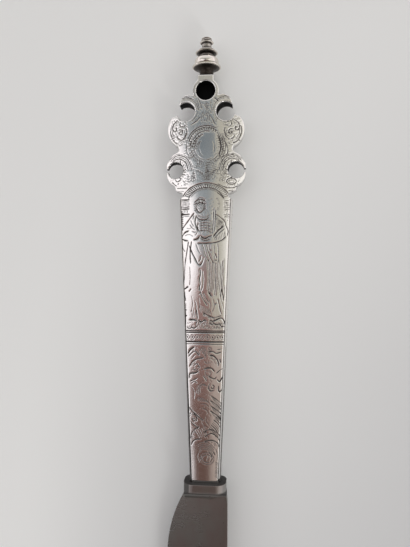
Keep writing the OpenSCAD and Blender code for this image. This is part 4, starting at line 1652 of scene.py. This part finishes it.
class Signal:
    """A number that varies over a surface, with the usual arithmetic."""

    def __init__(self, tree: "ShaderTree", socket: Socket) -> None:
        """Wrap one output socket of a shader tree."""
        self.tree = tree
        self.socket = socket

    def _with(self, operation: str, *others: Number, clamp: bool = False) -> "Signal":
        """Add a Math node and return its result."""
        return self.tree.math(operation, self, *others, clamp=clamp)

    def __add__(self, other: Number) -> "Signal":
        """Return the sum."""
        return self._with("ADD", other)

    __radd__ = __add__

    def __sub__(self, other: Number) -> "Signal":
        """Return the difference."""
        return self._with("SUBTRACT", other)

    def __rsub__(self, other: Number) -> "Signal":
        """Return the difference from a number."""
        return self.tree.math("SUBTRACT", other, self)

    def __mul__(self, other: Number) -> "Signal":
        """Return the product."""
        return self._with("MULTIPLY", other)

    __rmul__ = __mul__

    def __truediv__(self, other: Number) -> "Signal":
        """Return the quotient."""
        return self._with("DIVIDE", other)

    def __pow__(self, other: Number) -> "Signal":
        """Return the power."""
        return self._with("POWER", other)

    def clamped(self) -> "Signal":
        """Return the number held between 0 and 1."""
        return self._with("ADD", 0.0, clamp=True)

    def most(self, other: Number) -> "Signal":
        """Return the larger of two numbers."""
        return self._with("MAXIMUM", other)


class ShaderTree:
    """Builds the nodes of one material or of the sky."""

    def __init__(self, owner: Material | bpy.types.World) -> None:
        """Empty the owner's node tree.

        Args:
            owner: The material or world that the nodes belong to.
        """
        self.owner = owner
        owner.use_nodes = True
        self.nodes = owner.node_tree.nodes
        self.links = owner.node_tree.links
        self.nodes.clear()

    def node(self, kind: str, settings: dict[str, object] | None = None,
             inputs: dict[str | int, object] | None = None) -> bpy.types.Node:
        """Add one node.

        Args:
            kind: The node's type.
            settings: Attributes that are set first.
            inputs: Values or links of its sockets, by name or by place.

        Returns:
            The new node.
        """
        made = self.nodes.new(kind)
        for key, value in (settings or {}).items():
            setattr(made, key, value)
        for key, value in (inputs or {}).items():
            self.feed(made.inputs[key], value)
        return made

    def feed(self, socket: Socket, value: object) -> None:
        """Link a socket to a signal or another socket, or set its value.

        Args:
            socket: The socket that is fed.
            value: What feeds it.
        """
        if isinstance(value, Signal):
            self.links.new(value.socket, socket)
        elif isinstance(value, Socket):
            self.links.new(value, socket)
        elif socket.type == "RGBA":
            socket.default_value = (*value, 1.0)
        else:
            socket.default_value = value

    def math(self, operation: str, *values: Number, clamp: bool = False) -> Signal:
        """Add a Math node.

        Args:
            operation: What it does.
            values: Its inputs.
            clamp: Whether the result is held between 0 and 1.

        Returns:
            The result.
        """
        made = self.node("ShaderNodeMath", {"operation": operation, "use_clamp": clamp},
                         dict(enumerate(values)))
        return Signal(self, made.outputs[0])

    def place(self, kind: str = "Object") -> Socket:
        """Return the place on the object in metres, or other coordinates by their name."""
        return self.node("ShaderNodeTexCoord").outputs[kind]

    def axes(self, kind: str = "Object") -> tuple[Signal, ...]:
        """Return the three numbers of the place on the object, or of other coordinates."""
        split = self.node("ShaderNodeSeparateXYZ", None, {0: self.place(kind)})
        return tuple(Signal(self, out) for out in split.outputs)

    def noise(self, scale: float, detail: float = 3.0, stretch: Place = (1.0, 1.0, 1.0),
              rough: float = 0.5) -> Signal:
        """Return a noise pattern from 0 to 1.

        Args:
            scale: How many lumps there are in a metre.
            detail: How many octaves it has.
            stretch: Scale along each axis.
            rough: How strong the small octaves are.

        Returns:
            The pattern.
        """
        spread = self.node("ShaderNodeMapping", None, {"Vector": self.place(), "Scale": stretch})
        made = self.node("ShaderNodeTexNoise", None, {
            "Vector": spread.outputs[0], "Scale": scale, "Detail": detail, "Roughness": rough})
        return Signal(self, made.outputs["Fac"])

    def attribute(self, name: str) -> Signal:
        """Return a number stored on the mesh."""
        return Signal(self, self.node("ShaderNodeAttribute", {"attribute_name": name}).outputs["Fac"])

    def ramp(self, value: Signal, low: float, high: float) -> Signal:
        """Return how far a number has come from one limit to another.

        Args:
            value: The number.
            low: Where the result is 0.
            high: Where the result is 1.

        Returns:
            The share, with soft ends.
        """
        made = self.node("ShaderNodeMapRange", {"clamp": True, "interpolation_type": "SMOOTHSTEP"}, {
            "Value": value, "From Min": low, "From Max": high})
        return Signal(self, made.outputs[0])

    def blend(self, share: Number, first: object, second: object) -> Socket:
        """Return a colour between two colours.

        Args:
            share: How much of the second colour there is.
            first: The colour at 0.
            second: The colour at 1.

        Returns:
            The mixed colour's socket.
        """
        made = self.node("ShaderNodeMix", {"data_type": "RGBA", "clamp_factor": True},
                         {0: share, 6: first, 7: second})
        return made.outputs[2]

    def bump(self, height: Signal, distance: float, strength: float = 1.0) -> Socket:
        """Return a normal that follows a height pattern."""
        inputs = {"Height": height, "Distance": distance, "Strength": strength}
        return self.node("ShaderNodeBump", None, inputs).outputs[0]


class Finish(ShaderTree):
    """Builds the nodes of one material with a single surface shader."""

    def __init__(self, name: str) -> None:
        """Start an empty material.

        Args:
            name: Name of the material.
        """
        super().__init__(bpy.data.materials.new(name))
        self.shader = self.node("ShaderNodeBsdfPrincipled")
        self.node("ShaderNodeOutputMaterial", None, {0: self.shader.outputs[0]})

    def dress(self, **inputs: object) -> Material:
        """Set the shader's sockets and return the material.

        Args:
            inputs: Values or links, with underscores for the spaces in the names.

        Returns:
            The finished material.
        """
        for key, value in inputs.items():
            self.feed(self.shader.inputs[key.replace("_", " ")], value)
        return self.owner


@dataclass(frozen=True)
class Silver:
    """Old engraved silver, bright where hands rub it and dark in its lines, with painted shade on the walls
    of holes.
    """

    name: str = "engraved silver"
    bright: Colour = (0.95, 0.935, 0.92)
    dull: Colour = (0.68, 0.64, 0.59)
    dark: Colour = (0.045, 0.035, 0.032)
    rough: float = 0.12
    stain: float = 0.36

    def material(self) -> Material:
        """Build the material.

        Returns:
            The finished material.
        """
        tree = Finish(self.name)
        cloud = tree.noise(420, 4, (1.0, 0.45, 1.0))
        fine = tree.noise(2600, 3)
        scratch = tree.noise(900, 2, (5.0, 0.25, 1.0), 0.7)
        stained = (self.stain * (cloud + 0.7 * (scratch - 0.5) + 0.5 * (fine - 0.5))).clamped()
        skin = tree.blend(stained, self.bright, self.dull)
        # The attribute darkens the silver: tarnish in the engraved lines, and painted shade on walls, strips
        # and the finial's neck
        groove = tree.ramp(tree.attribute(TARNISH_AND_PAINTED_SHADE) + (fine - 0.5) * 0.25, 0.12, 0.75)
        # Painted shade: near black on the walls of the holes and the ring
        painted_hole_shade = tree.ramp(tree.attribute(TARNISH_AND_PAINTED_SHADE), 0.9, 1.0)
        gloss = self.rough + 0.1 * (cloud - 0.4) + 0.3 * groove + 0.35 * painted_hole_shade
        relief = scratch * 0.35 + fine * 0.4 + cloud * 0.25
        return tree.dress(
            Base_Color=tree.blend(painted_hole_shade, tree.blend(groove, skin, self.dark), (0.004, 0.004, 0.005)),
            Metallic=1 - groove * 0.2,
            Roughness=gloss.clamped(),
            Normal=tree.bump(relief, 0.00002, 0.35),
        )


@dataclass(frozen=True)
class Steel:
    """Patinated steel with grinding marks and a few pits, dark because it mirrors a dim room."""

    name: str = "dark steel"
    light: Colour = (0.35, 0.355, 0.34)
    brown: Colour = (0.33, 0.285, 0.27)
    pit: Colour = (0.12, 0.10, 0.095)
    black: Colour = (0.025, 0.022, 0.021)

    def material(self) -> Material:
        """Build the material.

        Returns:
            The finished material.
        """
        tree = Finish(self.name)
        cloud = tree.noise(130, 5, (1.0, 0.6, 1.0))
        grind = tree.noise(700, 2, (0.15, 4.0, 1.0), 0.6)
        speck = tree.noise(1500, 2)
        pits = 0.6 * tree.ramp(speck, 0.66, 0.8)
        base = tree.blend(tree.ramp(cloud, 0.35, 0.65), self.light, self.brown)
        colour = tree.blend(pits, base, self.pit)
        # Painted shade and dark reflection on the bolster, and the black tang, from the blade's attribute
        rust_and_painted_shade = tree.ramp(tree.attribute(TARNISH_AND_PAINTED_SHADE), 0.1, 0.9)
        return tree.dress(
            Base_Color=tree.blend(rust_and_painted_shade, colour, self.black),
            Metallic=1 - 0.8 * rust_and_painted_shade,
            Roughness=(0.26 + 0.16 * (cloud - 0.5) + 0.06 * grind + 0.2 * pits + 0.3 * rust_and_painted_shade).clamped(),
            Normal=tree.bump(grind * 0.5 - pits * 0.3 + cloud * 0.3, 0.00002, 0.4),
        )


@dataclass(frozen=True)
class Pitch:
    """Dull dark resin that fills the handle."""

    name: str = "dark pitch"
    colour: Colour = (0.02, 0.016, 0.013)

    def material(self) -> Material:
        """Build the material.

        Returns:
            The finished material.
        """
        tree = Finish(self.name)
        grain = tree.noise(900, 3)
        colour = tree.blend(grain, self.colour, tuple(1.6 * c for c in self.colour))
        return tree.dress(Base_Color=colour, Roughness=0.75, Normal=tree.bump(grain, 0.00005, 0.5))


@dataclass(frozen=True)
class TableTop:
    """Pale, plain table that glows a little, so that the knife's shadow stays faint, with painted shade
    towards the lower right and a painted shadow beside the blade.
    """

    name: str = "pale table"
    colour: Colour = (0.918, 0.927, 0.922)
    shade: Colour = (0.632, 0.637, 0.646)
    glow: float = 0.1

    def material(self) -> Material:
        """Build the material.

        Returns:
            The finished material.
        """
        tree = Finish(self.name)
        x, y, _ = tree.axes()
        cloud = tree.noise(14, 3)
        # Painted shade: the table darkens towards the lower right
        painted_shade = tree.ramp(x - 0.75 * y + 0.012 * (cloud - 0.5), -0.05, 0.09)
        # Painted shadow: a soft dark patch beside the blade and the lower handle
        near = ((x + 0.012) ** 2 + (0.3 * (y + 0.012)) ** 2) ** 0.5
        painted_shade = (painted_shade + 0.4 * tree.ramp(-1 * near, -0.034, -0.004)).clamped()
        lit, lit_shade = (tuple((1 - self.glow) * c for c in colour) for colour in (self.colour, self.shade))
        own, own_shade = (tuple(self.glow * c for c in colour) for colour in (self.colour, self.shade))
        return tree.dress(
            Base_Color=tree.blend(painted_shade, lit, lit_shade),
            Emission_Color=tree.blend(painted_shade, own, own_shade),
            Emission_Strength=1.0,
            Roughness=0.9,
        )


# Studio


@dataclass
class Studio:
    """Table, lamps and camera."""

    datum: Datum
    table_half: float = 2.0
    film_h: float = 36.0
    focal_px: float = 520.0
    image: tuple[int, int] = (410, 547)
    distance: float = 114.4
    aim: Place = (-0.01, 46.18, 2.2)
    roll: float = 5.5
    tilt: float = 0.0
    lean: float = 0.18
    sky_left: Colour = (1.06, 1.02, 1.045)
    sky_right: Colour = (0.98, 0.96, 0.92)
    horizon: Colour = (0.80, 0.80, 0.80)
    ceiling: Colour = (0.28, 0.31, 0.33)
    lamp_shade: Colour = (0.115, 0.14, 0.16)
    wall: Colour = (0.42, 0.40, 0.35)
    shape_high: Colour = (0.265, 0.16, 0.145)
    shape_low: Colour = (0.12, 0.07, 0.058)
    shape_foot: Colour = (0.10, 0.092, 0.087)
    side_high: Colour = (0.47, 0.45, 0.385)
    side_low: Colour = (0.40, 0.33, 0.295)

    def build(self) -> None:
        """Build the table, the lamps, the world and the camera."""
        self.table()
        self.lamps()
        self.world()
        self.camera()

    def place(self, x: float, y: float, z: float) -> Vector:
        """Return a place given in the knife's millimetres, in metres."""
        return self.datum.matrix() @ Vector((x, y, z))

    def table(self) -> None:
        """Build the table that the knife lies on."""
        mesh = bmesh.new()
        bmesh.ops.create_grid(mesh, x_segments=2, y_segments=2, size=self.table_half)
        data = bpy.data.meshes.new("table")
        mesh.to_mesh(data)
        mesh.free()
        data.materials.append(TableTop().material())
        floor = bpy.data.objects.new("table", data)
        bpy.context.scene.collection.objects.link(floor)

    def lamps(self) -> None:
        """Build the soft lamps."""
        self.lamp("left window", (-460, 230, 740), (0, 60, 0), (260, 520), 0.06, (1.0, 0.985, 0.99))
        self.lamp("right lamp", (240, -330, 260), (0, 0, 0), (70, 160), 0.4, (1.0, 0.985, 0.97))

    def lamp(self, name: str, where: Place, aim: Place, size: Point, power: float, colour: Colour) -> None:
        """Build one soft rectangular lamp.

        Args:
            name: Name of the lamp.
            where: Its place in the knife's millimetres.
            aim: Where it points.
            size: Its width and height in millimetres.
            power: Its power in watts.
            colour: The colour of its light.
        """
        data = bpy.data.lights.new(name, "AREA")
        data.shape = "RECTANGLE"
        data.size, data.size_y = size[0] * MM, size[1] * MM
        data.energy = power
        data.color = colour
        made = bpy.data.objects.new(name, data)
        made.location = self.place(*where)
        made.rotation_euler = (self.place(*aim) - made.location).to_track_quat("-Z", "Y").to_euler()
        bpy.context.scene.collection.objects.link(made)

    def world(self) -> None:
        """Set the sky that the silver mirrors: a white room with a dim shape overhead."""
        tree = ShaderTree(bpy.data.worlds.new("studio"))
        x, y, z = tree.axes("Generated")
        # The dim shape overhead widens above and below its middle
        up, down = (y - 0.09).most(0), (-1 * y).most(0)
        above, below = tree.ramp(y, 0.10, 0.20), tree.ramp(-1 * y, 0.0, 0.10)
        under = tree.ramp(-1 * y, 0.43, 0.46)
        low = tree.ramp(down, 0.27, 0.32)
        out = 0.13 + 1.8 * up + 0.15 * below + 0.1 * down + 0.3 * low + 0.25 * tree.ramp(y, 0.27, 0.3)
        left = tree.ramp((-1 * x - out) / (0.17 - 0.07 * below + 0.1 * low), 0.0, 1.0)
        right = tree.ramp((x - 0.14 - 1.2 * up - 1.1 * down) / 0.2, 0.0, 1.0)
        # Its colours, from its foot up to the far wall
        dim = tree.blend(tree.ramp(y, -0.36, -0.1), self.shape_low, self.shape_high)
        dim = tree.blend(tree.ramp(y, 0.0, 0.03), dim, self.ceiling)
        spot = tree.ramp(y, 0.2, 0.23) * tree.ramp(-1 * y, -0.27, -0.245)
        dim = tree.blend(spot, dim, self.lamp_shade)
        dim = tree.blend(tree.ramp(y, 0.28, 0.34), dim, self.wall)
        dim = tree.blend(under, dim, self.shape_foot)
        # The dim room to its right, and the bright sides past both
        beside = tree.blend(tree.ramp(y, -0.17, -0.05), self.side_low, self.side_high)
        beside = tree.blend(under, beside, self.shape_foot)
        colour = tree.blend(tree.ramp(x - 0.07 * above, -0.06, 0.07), dim, beside)
        colour = tree.blend(right, colour, self.sky_right)
        colour = tree.blend(left, colour, self.sky_left)
        # A slanting slit of light low on its left
        slant = 0.9 * (down - 0.3) - x
        foot = tree.ramp(down, 0.366, 0.374)
        ended = tree.ramp(down, 0.39, 0.4)
        slit = tree.ramp(slant, 0.3, 0.34) * tree.ramp(0.25 * foot - slant, -0.41, -0.37)
        slit = (slit * low * (1 - ended)).clamped()
        colour = tree.blend(slit * 0.95, colour, self.sky_left)
        # The walls of the room, down to the horizon
        rim = tree.blend(tree.ramp(y, -0.2, 0.0), self.horizon, self.sky_left)
        colour = tree.blend(tree.ramp(y, 0.32, 0.6), colour, self.horizon)
        colour = tree.blend(tree.ramp(z, 0.2, 0.5), rim, colour)
        shade = tree.node("ShaderNodeBackground", None, {"Color": colour, "Strength": 1.0})
        tree.node("ShaderNodeOutputWorld", None, {0: shade.outputs[0]})
        bpy.context.scene.world = tree.owner

    def camera(self) -> None:
        """Place the camera at the photograph's viewing angle."""
        data = bpy.data.cameras.new("camera")
        data.sensor_fit = "VERTICAL"
        data.sensor_height = self.film_h
        data.sensor_width = self.film_h * self.image[0] / self.image[1]
        data.lens = self.film_h * self.focal_px / self.image[1]
        data.clip_start = 0.005
        roll, tilt = math.radians(self.roll), math.radians(self.tilt)
        away = Vector((math.sin(roll) * math.cos(tilt), math.sin(tilt), math.cos(roll) * math.cos(tilt)))
        target = self.place(*self.aim)
        made = bpy.data.objects.new("camera", data)
        made.location = target + away * self.distance * MM
        right = Vector((0, 1, 0)).cross(away).normalized()
        upright = Matrix((right, away.cross(right), away)).transposed()
        made.rotation_euler = (upright @ Matrix.Rotation(math.radians(self.lean), 3, "Z")).to_euler()
        bpy.context.scene.collection.objects.link(made)
        bpy.context.scene.camera = made


class Knife:
    """The whole knife: its pieces, their finishes and their places in the record."""

    def __init__(self, nodes: dict[str, Piece]) -> None:
        """Prepare the shapes that the pieces share.

        Args:
            nodes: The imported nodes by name.
        """
        self.nodes = nodes
        self.datum = Datum.from_frame()
        self.crown = Crown()
        self.shaft = Shaft()
        self.head_shape = HeadShape()
        self.silver = Silver().material()
        self.worn_silver = Silver("worn silver", (0.88, 0.83, 0.77), (0.55, 0.48, 0.42), (0.03, 0.022, 0.018),
                                  0.08, 0.35).material()
        self.steel = Steel().material()
        self.pitch = Pitch().material()

    def build(self) -> None:
        """Build every piece in order."""
        engraving = Engraving(self.shaft, self.head_shape)
        LOG.info("engraving: %d lines", engraving.map.strokes)
        for side in Side:
            plate = ShaftPlate(self.datum, self.crown, self.shaft, engraving, side)
            self.add(plate.build(), self.silver, "silver")
        for hand in Hand:
            self.add(EdgeStrip(self.datum, self.crown, self.shaft, hand).build(), self.silver, "silver")
        self.add(PiercedHead(self.datum, self.crown, self.head_shape, engraving).build(), self.silver,
                 "silver")
        for piece in Finial(self.datum).build():
            self.add(piece, self.worn_silver, "silver")
        self.add(Blade(self.datum).build(), self.steel, "dark_steel")
        self.dress_node("base_cap", self.silver)
        self.dress_node("pitch_core", self.pitch)

    def add(self, piece: Piece, finish: Material, slot: str) -> None:
        """Give a new piece its finish and its body.

        Args:
            piece: The piece.
            finish: Its material.
            slot: The record's material slot that the finish belongs to; not used.
        """
        piece.data.materials.append(finish)
        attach(piece, "root")
        LOG.info("%s: %d faces", piece.name, len(piece.data.polygons))

    def dress_node(self, name: str, finish: Material) -> None:
        """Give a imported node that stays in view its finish.

        Args:
            name: The node's name.
            finish: Its material.
        """
        node = self.nodes[name]
        node.data.materials.clear()
        node.data.materials.append(finish)
        LOG.info("%s: dressed as packed", name)


def main() -> None:
    """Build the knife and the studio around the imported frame."""
    logging.basicConfig(level=logging.INFO, format="%(message)s")
    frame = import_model()
    bpy.context.scene.view_settings.view_transform = "Standard"
    knife = Knife(frame["nodes"])
    knife.build()
    Studio(knife.datum).build()


if __name__ == "__main__":
    main()
